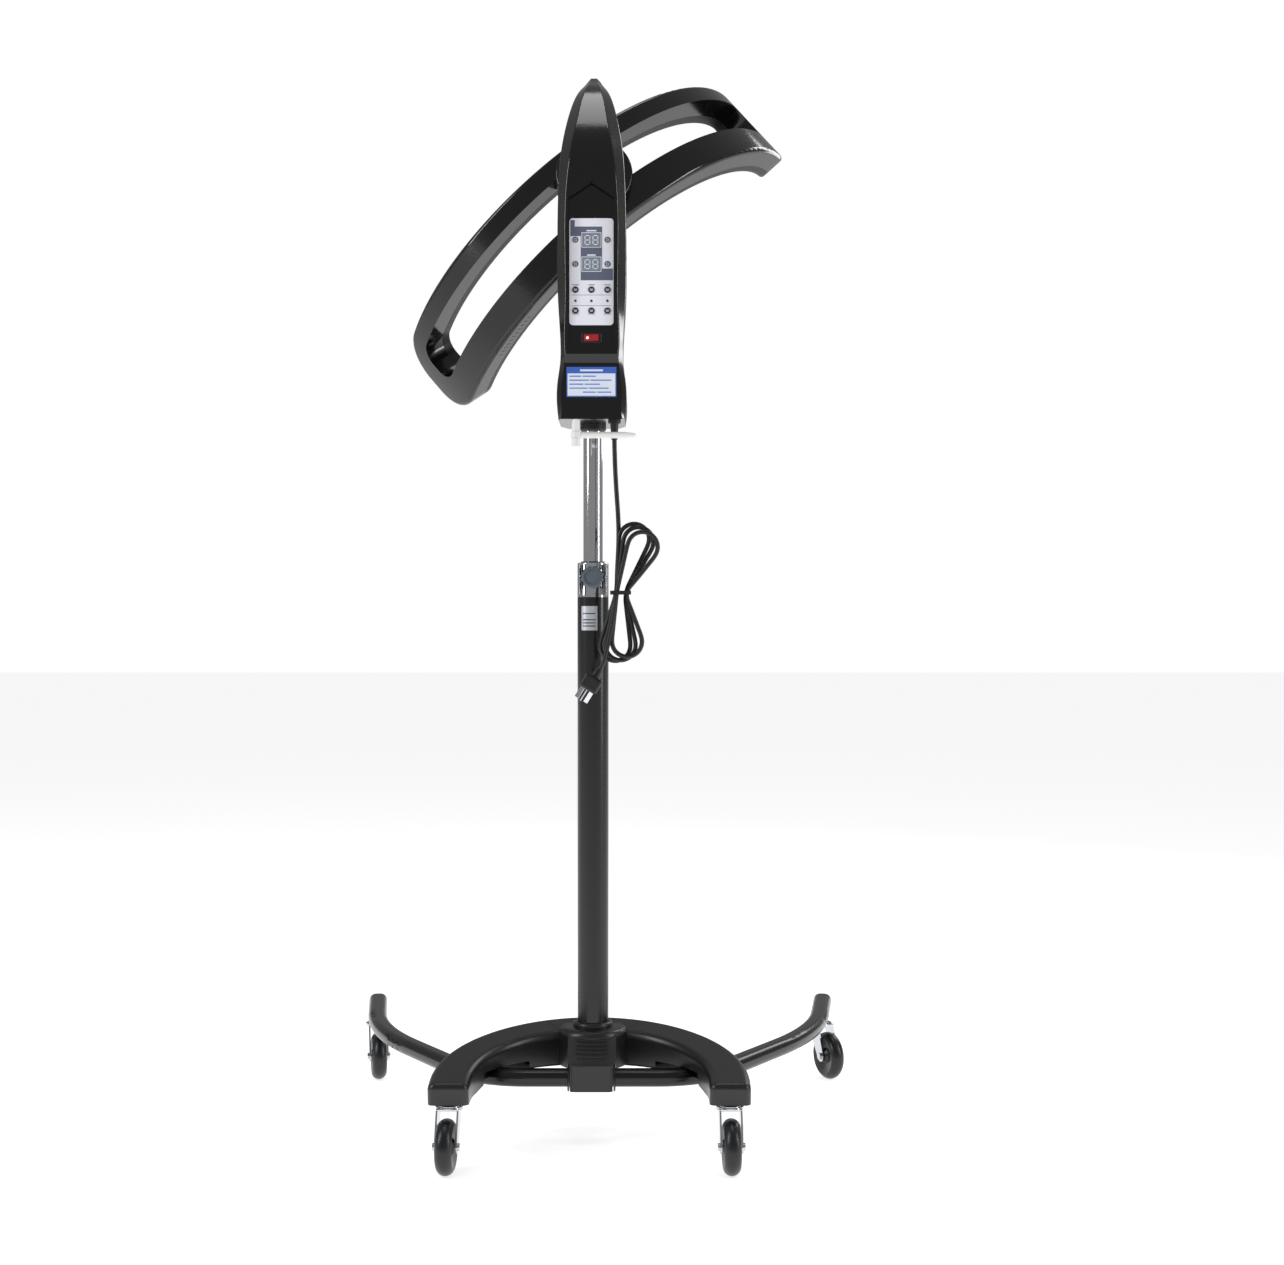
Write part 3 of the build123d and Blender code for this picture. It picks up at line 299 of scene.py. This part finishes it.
def piece(name: str, mesh: bmesh.types.BMesh, finish: Finish, body: str) -> bpy.types.Object:
    """Turns a bmesh to a finished piece that rides on a body.

    Args:
        name: The piece's name.
        mesh: Its shape, in metres, in the row's frame.
        finish: Its material.
        body: The CAD body that it moves with.

    Returns:
        The new object.
    """
    bmesh.ops.recalc_face_normals(mesh, faces=mesh.faces)
    data = bpy.data.meshes.new(name)
    mesh.to_mesh(data)
    mesh.free()
    data.materials.append(finish.make())
    shape = bpy.data.objects.new(name, data)
    bpy.context.scene.collection.objects.link(shape)
    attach(shape, body)
    LOG.info("%s: %s", name, finish.name)
    return shape


def block(mesh: bmesh.types.BMesh, low: Point, high: Point) -> None:
    """Adds a box between two corners.

    Args:
        mesh: Takes the box.
        low: Lowest corner in metres.
        high: Highest corner in metres.
    """
    size = [high[i] - low[i] for i in range(3)]
    middle = Vector([(high[i] + low[i]) / 2 for i in range(3)])
    place = Matrix.Translation(middle) @ Matrix.Diagonal((*size, 1.0))
    bmesh.ops.create_cube(mesh, size=1.0, matrix=place)


def print_bars(mesh: bmesh.types.BMesh, origin: Vector, rects: Iterable[Rect], thick: float = INK_MM) -> None:
    """Adds thin flat bars that face -Y, as a layer of ink does.

    Args:
        mesh: Takes the bars.
        origin: The place that the rectangles are measured from, on the printed face.
        rects: Low X, high X, low Z and high Z of each bar, in millimetres.
        thick: The layer's thickness in millimetres.
    """
    for x0, x1, z0, z1 in rects:
        low = (origin.x + x0 * MM, origin.y - thick * MM, origin.z + z0 * MM)
        high = (origin.x + x1 * MM, origin.y, origin.z + z1 * MM)
        block(mesh, low, high)


def disc(mesh: bmesh.types.BMesh, centre: Vector, radius: float, thick: float, sides: int = 24) -> None:
    """Adds a short round button that faces -Y.

    Args:
        mesh: Takes the button.
        centre: Middle of its back, in metres.
        radius: In millimetres.
        thick: In millimetres.
        sides: Corners of its outline.
    """
    turn = Matrix.Rotation(math.pi / 2, 4, "X")
    place = Matrix.Translation(centre + Vector((0, -thick * MM / 2, 0))) @ turn
    size = {"radius1": radius * MM, "radius2": radius * MM, "depth": thick * MM}
    bmesh.ops.create_cone(mesh, cap_ends=True, segments=sides, matrix=place, **size)


def hoop(mesh: bmesh.types.BMesh, centre: Vector, radius: float, width: float, thick: float) -> None:
    """Adds a thin flat ring that faces -Y.

    Args:
        mesh: Takes the ring.
        centre: Middle of its back, in metres.
        radius: Outer radius in millimetres.
        width: Line width in millimetres.
        thick: In millimetres.
    """
    inner = (radius - width) * MM
    outer = radius * MM
    corners = [(inner, 0.0), (outer, 0.0), (outer, -thick * MM), (inner, -thick * MM)]
    ring = [mesh.verts.new(centre + Vector((r, y, 0))) for r, y in corners]
    edges = [mesh.edges.new((ring[i], ring[(i + 1) % 4])) for i in range(4)]
    turn = {"cent": centre, "axis": (0, 1, 0), "dvec": (0, 0, 0), "angle": math.tau}
    bmesh.ops.spin(mesh, geom=ring + edges, steps=HOOP_STEPS, use_merge=True, **turn)


# ------------------------------------------------------------------ camera


@dataclass
class View:
    """The camera, which stands a little to the right, less than halfway up the object."""

    aside_mm: float = 71.0
    back_mm: float = 2610.0
    height_mm: float = 727.0
    lens_mm: float = 50.47
    sensor_mm: float = 36.0

    def build(self, column_y: float) -> None:
        """Makes the camera.

        Args:
            column_y: Where the column stands in Y, in metres.
        """
        data = bpy.data.cameras.new("camera")
        data.lens = self.lens_mm
        data.sensor_width = self.sensor_mm
        camera = bpy.data.objects.new("camera", data)
        camera.location = (self.aside_mm * MM, column_y - self.back_mm * MM, self.height_mm * MM)
        camera.rotation_euler = (math.pi / 2, 0, 0)
        bpy.context.scene.collection.objects.link(camera)
        bpy.context.scene.camera = camera


# ------------------------------------------------------------------ cord


@dataclass
class MainsCord:
    """The hanging mains cord: a lead, a tied hank of long turns, a tail and its plug.

    Points are in millimetres from the column's axis and the floor.
    """

    diameter_mm: float = 6.5
    lead: tuple[Point, ...] = (
        (32.0, -62.0, 1002.0),
        (32.0, -62.0, 985.0),
        (34.0, -64.0, 938.0),
        (38.0, -69.0, 884.0),
        (38.0, -70.0, 850.0),
        (36.0, -70.0, 815.0),
    )
    tail: tuple[Point, ...] = (
        (34.0, -90.0, 770.0),
        (30.0, -90.0, 745.0),
        (25.0, -90.0, 718.0),
        (20.0, -90.0, 695.0),
        (16.6, -90.0, 683.0),
        (12.0, -90.0, 675.5),
    )
    waist: tuple[float, float] = (41.0, 783.0)
    waist_half: float = 5.6
    fold_r: float = 21.5
    layer_gap: float = 6.67
    first_layer: float = -70.0
    low_folds: tuple[tuple[float, float], ...] = ((33.5, 708.0), (41.0, 709.0), (50.0, 714.0))
    top_folds: tuple[tuple[float, float], ...] = ((60.0, 859.0), (66.0, 854.0), (72.0, 847.0))
    fold_points: int = 9
    run_shares: tuple[float, ...] = (0.4, 0.8)
    length_m: float = 1.63

    def _fold(self, centre: tuple[float, float], up: int, low_y: float, high_y: float) -> list[Point]:
        """Points from the waist round one fold and back.

        Args:
            centre: The fold's middle in X and Z.
            up: 1 for a fold above the waist, -1 below.
            low_y: Layer that the fold starts in.
            high_y: Layer that it ends in.

        Returns:
            The points, right side first above the waist and left side first below.
        """
        middle = Vector(centre)
        waist = Vector(self.waist)
        reach = (middle - waist).length
        along = (middle - waist).normalized()
        start = Vector((abs(along.y), -along.x * up)) * up
        spread = math.asin((self.fold_r - self.waist_half) / reach)
        arc: list[Point] = []
        for n in range(self.fold_points):
            share = n / (self.fold_points - 1)
            angle = (math.pi + 2 * spread) * share - spread
            place = middle + (start * math.cos(angle) + along * math.sin(angle)) * self.fold_r
            arc.append((place.x, low_y + (high_y - low_y) * share, place.y))
        before = self._run(start, arc[0], self.run_shares)
        after = self._run(start * -1, arc[-1], self.run_shares[::-1])
        return before + arc + after

    def _run(self, side: Vector, end: Point, shares: Sequence[float]) -> list[Point]:
        """Points between the waist and one end of a fold.

        Args:
            side: Which side of the waist the run starts at.
            end: The fold's end.
            shares: How far along the run each point lies.

        Returns:
            The points, in the shares' order.
        """
        foot = Vector(self.waist) + side * self.waist_half
        return [(foot.x + (end[0] - foot.x) * s, end[1], foot.y + (end[2] - foot.y) * s) for s in shares]

    def route(self) -> list[Point]:
        """Returns every control point from the outlet to the plug."""
        points = list(self.lead)
        wx, wz = self.waist
        layer = self.first_layer
        for low, top in zip(self.low_folds, self.top_folds):
            points.append((wx - self.waist_half, layer, wz))
            points += self._fold(low, -1, layer, layer)
            points.append((wx + self.waist_half, layer, wz))
            points += self._fold(top, 1, layer, layer - self.layer_gap)
            layer -= self.layer_gap
        points.append((wx - self.waist_half, layer, wz))
        points += self.tail
        return points

    def build(self, column_y: float) -> bpy.types.Object:
        """Args:
            column_y: Where the column stands in Y, in metres.

        Returns:
            The cord's object.
        """
        data = bpy.data.curves.new("mains_cord", "CURVE")
        data.dimensions = "3D"
        data.bevel_depth = self.diameter_mm * MM / 2
        data.bevel_resolution = 4
        data.resolution_u = 6
        data.use_fill_caps = True
        spline = data.splines.new("NURBS")
        points = self.route()
        spline.points.add(len(points) - 1)
        for control, (x, y, z) in zip(spline.points, points):
            control.co = (x * MM, y * MM + column_y, z * MM, 1.0)
        spline.order_u = 3
        spline.use_endpoint_u = True
        data.materials.append(PVC.make())
        cord = bpy.data.objects.new("mains_cord", data)
        bpy.context.scene.collection.objects.link(cord)
        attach(cord, "head")
        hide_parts("cord_lead", "cord_hank", "cord_tail")
        x, y, z = points[0]
        for node in ("plug_body", "cord_tie"):
            dress(node, PVC)
        dress("plug_pins", CHROME)
        return cord


# ------------------------------------------------------------------ stand


@dataclass
class Stand:
    """Base, castors, column, clamp and pole, with the column's foil label."""

    label_mm: tuple[float, float] = (25.0, 35.0)
    label_middle_deg: float = -14.0
    label_z_mm: float = 747.5
    label_lift: float = 0.12
    label_foil: float = 0.07
    label_edge: float = 3.0
    label_rows: tuple[float, ...] = (-12.0, -7.5, -3.0, 6.0)
    label_row_high: float = 1.6
    slot_angles: tuple[float, ...] = (-38.0, 38.0, 142.0, 218.0)
    slot_mm: Point = (1.4, 1.0, 34.0)
    slot_sink: float = 0.2
    slot_top: float = 4.0
    castors: tuple[str, ...] = ("rear_left", "rear_right", "front_left", "front_right")

    def build(self) -> None:
        """Dresses the nodes and adds the label."""
        for node in ("base_cover", "hub_cap", "column_collar"):
            dress(node, SATIN_ABS)
        for node in ("lower_column", "front_tube", "base_frame"):
            dress(node, ENAMEL)
        for node in ("clamp_collar", "chrome_pole"):
            dress(node, CHROME)
        for node in ("tube_end_caps", "castor_sockets", "collar_bush", "pole_foot_bush", "head_socket"):
            dress(node, NYLON)
        dress("clamp_knob", ACETAL)
        for name in self.castors:
            dress(f"fork_{name}", FORK_CHROME)
            dress(f"wheel_{name}", TREAD)
        self._label()
        self._clamp_slots()

    def _label(self) -> None:
        """Wraps the foil label round the front of the column."""
        low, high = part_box("lower_column")
        middle = (low + high) / 2
        radius = (high.x - low.x) / 2 + self.label_lift * MM
        wide, tall = self.label_mm
        start = math.radians(self.label_middle_deg) - wide * MM / radius / 2
        whole = [(-tall / 2, tall / 2)]
        printed = [(z, z + self.label_row_high) for z in self.label_rows]
        for name, finish, inset, lift, rows in (
            ("column_label", FOIL, 0.0, 0.0, whole),
            ("column_label_print", DARK_INK, self.label_edge, OVERPRINT_MM, printed),
        ):
            mesh = bmesh.new()
            for z0, z1 in rows:
                edge = start + inset * MM / radius
                at = radius + lift * MM
                foot = Vector((middle.x + at * math.sin(edge), middle.y - at * math.cos(edge), 0))
                verts = [mesh.verts.new(foot + Vector((0, 0, (self.label_z_mm + z) * MM))) for z in (z0, z1)]
                line = mesh.edges.new(verts)
                turn = (wide - 2 * inset) * MM / radius
                about = {"cent": middle, "axis": (0, 0, 1), "dvec": (0, 0, 0), "angle": turn}
                bmesh.ops.spin(mesh, geom=verts + [line], steps=LABEL_STEPS, **about)
            bmesh.ops.solidify(mesh, geom=mesh.faces[:], thickness=self.label_foil * MM)
            piece(name, mesh, finish, "stand")

    def _clamp_slots(self) -> None:
        """Adds the dark slots that let the clamp collar close on the pole."""
        _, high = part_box("clamp_collar")
        column_low, column_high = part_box("lower_column")
        middle = (column_low + column_high) / 2
        radius = (column_high.x - column_low.x) / 2
        size = Matrix.Diagonal((*(side * MM for side in self.slot_mm), 1.0))
        slot_z = high.z - self.slot_top * MM - self.slot_mm[2] / 2 * MM
        mesh = bmesh.new()
        for angle in self.slot_angles:
            way = Vector((math.sin(math.radians(angle)), -math.cos(math.radians(angle)), 0))
            at = Vector((middle.x, middle.y, 0)) + way * (radius - self.slot_sink * MM)
            turn = Matrix.Rotation(math.radians(angle), 4, "Z")
            place = Matrix.Translation(Vector((at.x, at.y, slot_z))) @ turn @ size
            bmesh.ops.create_cube(mesh, size=1.0, matrix=place)
        piece("clamp_slots", mesh, NYLON, "stand")


# ------------------------------------------------------------------ head


@dataclass
class ControlPanel:
    """The membrane panel's print, displays, keys' marks and status lights.

    Rows are in millimetres from the panel's top edge, and columns from its middle.
    """

    slate: tuple[Rect, ...] = (
        (-29.5, -23.3, -25.1, -2.6),
        (-23.3, 15.0, -20.6, -11.7),
        (-23.3, -13.2, -25.1, -20.6),
        (13.2, 15.0, -25.1, -20.6),
        (-15.0, -13.2, -40.4, -25.1),
        (13.2, 15.0, -40.4, -25.1),
        (-15.0, 15.0, -54.6, -40.4),
        (-15.0, -13.2, -74.4, -54.6),
        (13.2, 15.0, -74.4, -54.6),
        (-15.0, 15.0, -87.1, -74.4),
        (15.0, 30.2, -87.1, -70.6),
    )
    captions: tuple[Rect, ...] = (
        (-7.0, 7.0, -18.4, -16.6),
        (-6.0, 6.0, -52.6, -50.8),
    )
    display_frame: tuple[Rect, ...] = (
        (-13.9, 13.9, 9.9, 10.6),
        (-13.9, 13.9, -10.6, -9.9),
        (-13.9, -13.2, -9.9, 9.9),
        (13.2, 13.9, -9.9, 9.9),
    )
    display_high: float = 19.5
    display_frame_thick: float = 0.2
    dividers: tuple[float, ...] = (-107.8, -122.7)
    divider_half: tuple[float, float] = (28.0, 0.25)
    caption_rows: tuple[float, ...] = (-93.5, -134.6)
    caption_half: tuple[float, float] = (4.5, 0.5)
    columns: tuple[float, ...] = (-22.4, 0.0, 22.4)
    light_row: float = -116.0
    light_r: float = 1.7
    light_high: float = 0.5
    digit: tuple[float, float] = (7.0, 12.5)
    digit_columns: tuple[float, ...] = (-5.6, 5.6)
    digit_line: float = 1.0
    digit_thick: float = 0.06
    bar_ends: tuple[float, float] = (0.9, 0.8)
    key_margin: float = 0.5
    key_disc: float = 0.1
    key_caption: tuple[Rect, ...] = ((-2.6, 2.6, 0.5, 1.2), (-1.8, 1.8, -1.3, -0.6))
    arrow_line: float = 1.5
    arrow_r: float = 2.2
    arrow_high: float = 0.14
    keys: int = 10
    arrow_keys: int = 4

    def build(self) -> None:
        """Dresses the panel's nodes and adds its print."""
        dress("panel_overlay", FILM)
        dress("display_windows", LCD)
        low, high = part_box("panel_overlay")
        top = Vector(((low.x + high.x) / 2, low.y, high.z))
        mesh = bmesh.new()
        print_bars(mesh, top, self.slate)
        piece("panel_slate_print", mesh, SLATE_INK, "head")
        mesh = bmesh.new()
        raised = top - Vector((0, INK_MM * MM, 0))
        print_bars(mesh, raised, self.captions, OVERPRINT_MM)
        piece("panel_captions", mesh, FILM, "head")
        mesh = bmesh.new()
        reach, half = self.divider_half
        for row in self.dividers:
            print_bars(mesh, top, [(-reach, reach, row - half, row + half)])
        reach, half = self.caption_half
        for row in self.caption_rows:
            for column in self.columns:
                print_bars(mesh, top, [(column - reach, column + reach, row - half, row + half)])
        piece("panel_lines", mesh, SLATE_INK, "head")
        self._lights(top)
        self._displays()
        for number in range(1, self.keys + 1):
            self._key(number)

    def _lights(self, top: Vector) -> None:
        """Adds the status lights.

        Args:
            top: Middle of the panel's top edge.
        """
        mesh = bmesh.new()
        for column in self.columns:
            centre = top + Vector((column * MM, 0, self.light_row * MM))
            disc(mesh, centre, self.light_r, self.light_high, SMALL_DISC_SIDES)
        piece("status_lights", mesh, DARK_INK, "head")

    def _displays(self) -> None:
        """Adds the pale frames round the displays and their pale figures."""
        low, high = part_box("display_windows")
        middle_x = (low.x + high.x) / 2
        glass_high = self.display_high * MM
        panel_low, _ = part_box("panel_overlay")
        frames = bmesh.new()
        figures = bmesh.new()
        for centre_z in (high.z - glass_high / 2, low.z + glass_high / 2):
            face = Vector((middle_x, panel_low.y, centre_z))
            print_bars(frames, face, self.display_frame, self.display_frame_thick)
            glass = Vector((middle_x, low.y, centre_z))
            for column in self.digit_columns:
                print_bars(figures, glass, self._figure(column), self.digit_thick)
        piece("display_frames", frames, FILM, "head")
        piece("display_figures", figures, FILM, "head")

    def _figure(self, column: float) -> list[Rect]:
        """Returns the seven bars of one figure, in millimetres about the display's middle.

        Args:
            column: Where the figure stands.
        """
        wide, tall = self.digit
        x0, x1 = column - wide / 2, column + wide / 2
        half = tall / 2
        line = self.digit_line / 2
        side, end = self.bar_ends
        bars: list[Rect] = [(x0 + side, x1 - side, z - line, z + line) for z in (-half, 0.0, half)]
        for x in (x0, x1):
            bars += [(x - line, x + line, -half + end, -end), (x - line, x + line, end, half - end)]
        return bars

    def _key(self, number: int) -> None:
        """Dresses one key and adds its mark.

        Args:
            number: The key's number, arrow keys first.
        """
        node = f"key_{number}"
        dress(node, SILICONE)
        low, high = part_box(node)
        face = Vector(((low.x + high.x) / 2, low.y, (low.z + high.z) / 2))
        radius = (high.x - low.x) / 2 / MM - self.key_margin
        mesh = bmesh.new()
        if number <= self.arrow_keys:
            hoop(mesh, face, radius, self.arrow_line, INK_MM)
            point = -1 if number % 2 else 1
            aim = Matrix.Rotation(math.pi - point * math.pi / 2, 4, "Z")
            turn = Matrix.Rotation(math.pi / 2, 4, "X") @ aim
            place = Matrix.Translation(face - Vector((0, self.arrow_high / 2 * MM, 0))) @ turn
            size = {"radius1": self.arrow_r * MM, "radius2": self.arrow_r * MM, "depth": self.arrow_high * MM}
            bmesh.ops.create_cone(mesh, cap_ends=True, segments=3, matrix=place, **size)
        else:
            disc(mesh, face, radius, self.key_disc)
        piece(f"{node}_mark", mesh, DARK_INK, node)
        if number > self.arrow_keys:
            mesh = bmesh.new()
            raised = face - Vector((0, self.key_disc * MM, 0))
            print_bars(mesh, raised, self.key_caption, OVERPRINT_MM)
            piece(f"{node}_caption", mesh, FILM, node)


@dataclass
class Head:
    """The upright housing with its panel, switch, rating plate, cord outlet and hook."""

    panel: ControlPanel = field(default_factory=ControlPanel)
    plate_band: float = 9.0
    plate_edge: float = 1.4
    plate_rows: tuple[tuple[float, float], ...] = ((-31, 6), (-31, 28), (-31, 12), (-31, 24), (-12, 28))
    first_row: float = 4.0
    row_pitch: float = 5.6
    row_half: float = 0.7
    row_gap: float = 2.0
    heading_half: float = 16.0
    heading_drop: tuple[float, float] = (6.2, 3.4)
    rocker_front_mm: float = 6.0
    # Place and size of the painted highlight on the rocker
    highlight_share: float = 0.5
    highlight_r: float = 2.0
    highlight_high: float = 0.35

    def build(self) -> None:
        """Dresses the nodes and adds the printed plate and the painted highlight on the switch."""
        for node in ("rear_shell", "front_shell", "visor"):
            dress(node, GLOSS_ABS)
        for node in ("switch_bezel", "strain_relief", "shaft_bushes"):
            dress(node, NYLON)
        dress("control_board", FR4)
        dress("orbit_motor", TURNED)
        dress("hook_stem", POWDER)
        dress("hook_arm", POWDER)
        # The rocker's red carries a faint painted glow
        dress("power_rocker", RED_PC_PAINTED_GLOW)
        dress("rating_plate", LABEL)
        self.panel.build()
        self._plate_print()
        self._rocker_highlight()

    def _plate_print(self) -> None:
        """Adds the plate's header band, border and rows of blank lines."""
        low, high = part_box("rating_plate")
        middle = Vector(((low.x + high.x) / 2, low.y, (low.z + high.z) / 2))
        half_x = (high.x - low.x) / 2 / MM
        half_z = (high.z - low.z) / 2 / MM
        blue = bmesh.new()
        edge = self.plate_edge
        band_z = half_z - self.plate_band
        foot_z = edge - half_z
        bands = [(-half_x, half_x, band_z, half_z), (-half_x, half_x, -half_z, foot_z)]
        bands += [(-half_x, edge - half_x, foot_z, band_z), (half_x - edge, half_x, foot_z, band_z)]
        print_bars(blue, middle, bands)
        piece("plate_border", blue, BLUE_INK, "head")
        ink = bmesh.new()
        for n, (left, right) in enumerate(self.plate_rows):
            z = band_z - self.first_row - n * self.row_pitch
            z0, z1 = z - self.row_half, z + self.row_half
            split = (left + right) / 2
            print_bars(ink, middle, [(left, split - self.row_gap, z0, z1), (split, right, z0, z1)])
        piece("plate_rows", ink, BLUE_INK, "head")
        pale = bmesh.new()
        above = middle - Vector((0, INK_MM * MM, 0))
        foot, head = self.heading_drop
        heading = (-self.heading_half, self.heading_half, half_z - foot, half_z - head)
        print_bars(pale, above, [heading], OVERPRINT_MM)
        piece("plate_heading", pale, PALE_INK, "head")

    def _rocker_highlight(self) -> None:
        """Adds a pale glowing disc on the rocker's left facet, a painted highlight."""
        low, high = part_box("power_rocker")
        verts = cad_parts["power_rocker"].data.vertices
        outside = [v.co for v in verts if v.co.y < low.y + self.rocker_front_mm * MM]
        ridge = min(outside, key=lambda co: abs(co.x))
        centre = Vector((low.x * self.highlight_share, ridge.y, (low.z + high.z) / 2))
        mesh = bmesh.new()
        disc(mesh, centre, self.highlight_r, self.highlight_high, SMALL_DISC_SIDES)
        piece("rocker_painted_highlight", mesh, ROCKER_PAINTED_HIGHLIGHT, "rocker")


# ------------------------------------------------------------------ ring


@dataclass
class Ring:
    """The orbiting ring with its lamps, grille, hub and shaft."""

    def build(self) -> None:
        """Dresses the ring's nodes."""
        for node in ("ring_outer_shell", "ring_hub"):
            dress(node, GLOSS_ABS)
        dress("ring_inner_grille", ANODISED)
        dress("ring_reflectors", REFLECTOR)
        dress("heater_tubes", RUBY_QUARTZ)
        dress("drive_shaft", TURNED)


# ------------------------------------------------------------------ studio


@dataclass
class Softbox:
    """One area light.

    Attributes:
        name: The light's name.
        place: Where it stands, in metres from the column's foot.
        size: Width and height in metres.
        watts: Its power.
        aim_z: Height of the spot on the column's axis that it faces, in metres.
    """

    name: str
    place: Point
    size: tuple[float, float]
    watts: float
    aim_z: float = 0.9

    def build(self, column_y: float) -> None:
        """Makes the light, turned to the stand's middle.

        Args:
            column_y: Where the column stands in Y, in metres.
        """
        data = bpy.data.lights.new(self.name, "AREA")
        data.shape = "RECTANGLE"
        data.size, data.size_y = self.size
        data.energy = self.watts
        light = bpy.data.objects.new(self.name, data)
        x, y, z = self.place
        light.location = (x, y + column_y, z)
        aim = Vector((0, column_y, self.aim_z)) - light.location
        light.rotation_euler = aim.to_track_quat("-Z", "Y").to_euler()
        bpy.context.scene.collection.objects.link(light)


@dataclass
class Studio:
    """Pale floor, pale surroundings and soft lights."""

    floor_half: float = 30.0
    surroundings: str = "#FFFFFF"
    seen_strength: float = 1.0
    lit_strength: float = 0.28
    lights: tuple[Softbox, ...] = (
        Softbox("key light", (-2.6, -1.2, 2.2), (0.5, 2.2), 40.0),
        Softbox("fill light", (2.8, -0.9, 1.6), (0.4, 2.2), 28.0),
        Softbox("top light", (0.0, 0.3, 3.6), (1.2, 1.2), 14.0),
        Softbox("rim light", (1.8, 2.2, 2.2), (0.8, 2.0), 20.0),
    )

    def build(self, column_y: float) -> None:
        """Makes the floor, the surroundings and the lights.

        Args:
            column_y: Where the column stands in Y, in metres.
        """
        mesh = bmesh.new()
        bmesh.ops.create_grid(mesh, x_segments=1, y_segments=1, size=self.floor_half)
        data = bpy.data.meshes.new("floor")
        mesh.to_mesh(data)
        mesh.free()
        data.materials.append(STUDIO.make())
        floor = bpy.data.objects.new("floor", data)
        bpy.context.scene.collection.objects.link(floor)
        world = bpy.data.worlds.new("studio")
        bpy.context.scene.world = world
        world.use_nodes = True
        tree = world.node_tree
        background = tree.nodes["Background"]
        background.inputs["Color"].default_value = linear(self.surroundings)
        rays = add(tree, "ShaderNodeLightPath", {}, {})
        limits = {"To Min": self.lit_strength, "To Max": self.seen_strength}
        strength = add(tree, "ShaderNodeMapRange", limits, {"Value": rays.outputs["Is Camera Ray"]})
        tree.links.new(strength.outputs["Result"], background.inputs["Strength"])
        for light in self.lights:
            light.build(column_y)
        bpy.context.scene.view_settings.view_transform = "Standard"


def main() -> None:
    """Builds the camera, the cord and every part of the object, then the studio."""
    logging.basicConfig(level=logging.INFO, format="%(message)s")
    low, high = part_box("lower_column")
    column_y = (low.y + high.y) / 2
    View().build(column_y)
    MainsCord().build(column_y)
    Stand().build()
    Head().build()
    Ring().build()
    Studio().build(column_y)


if __name__ == "__main__":
    main()
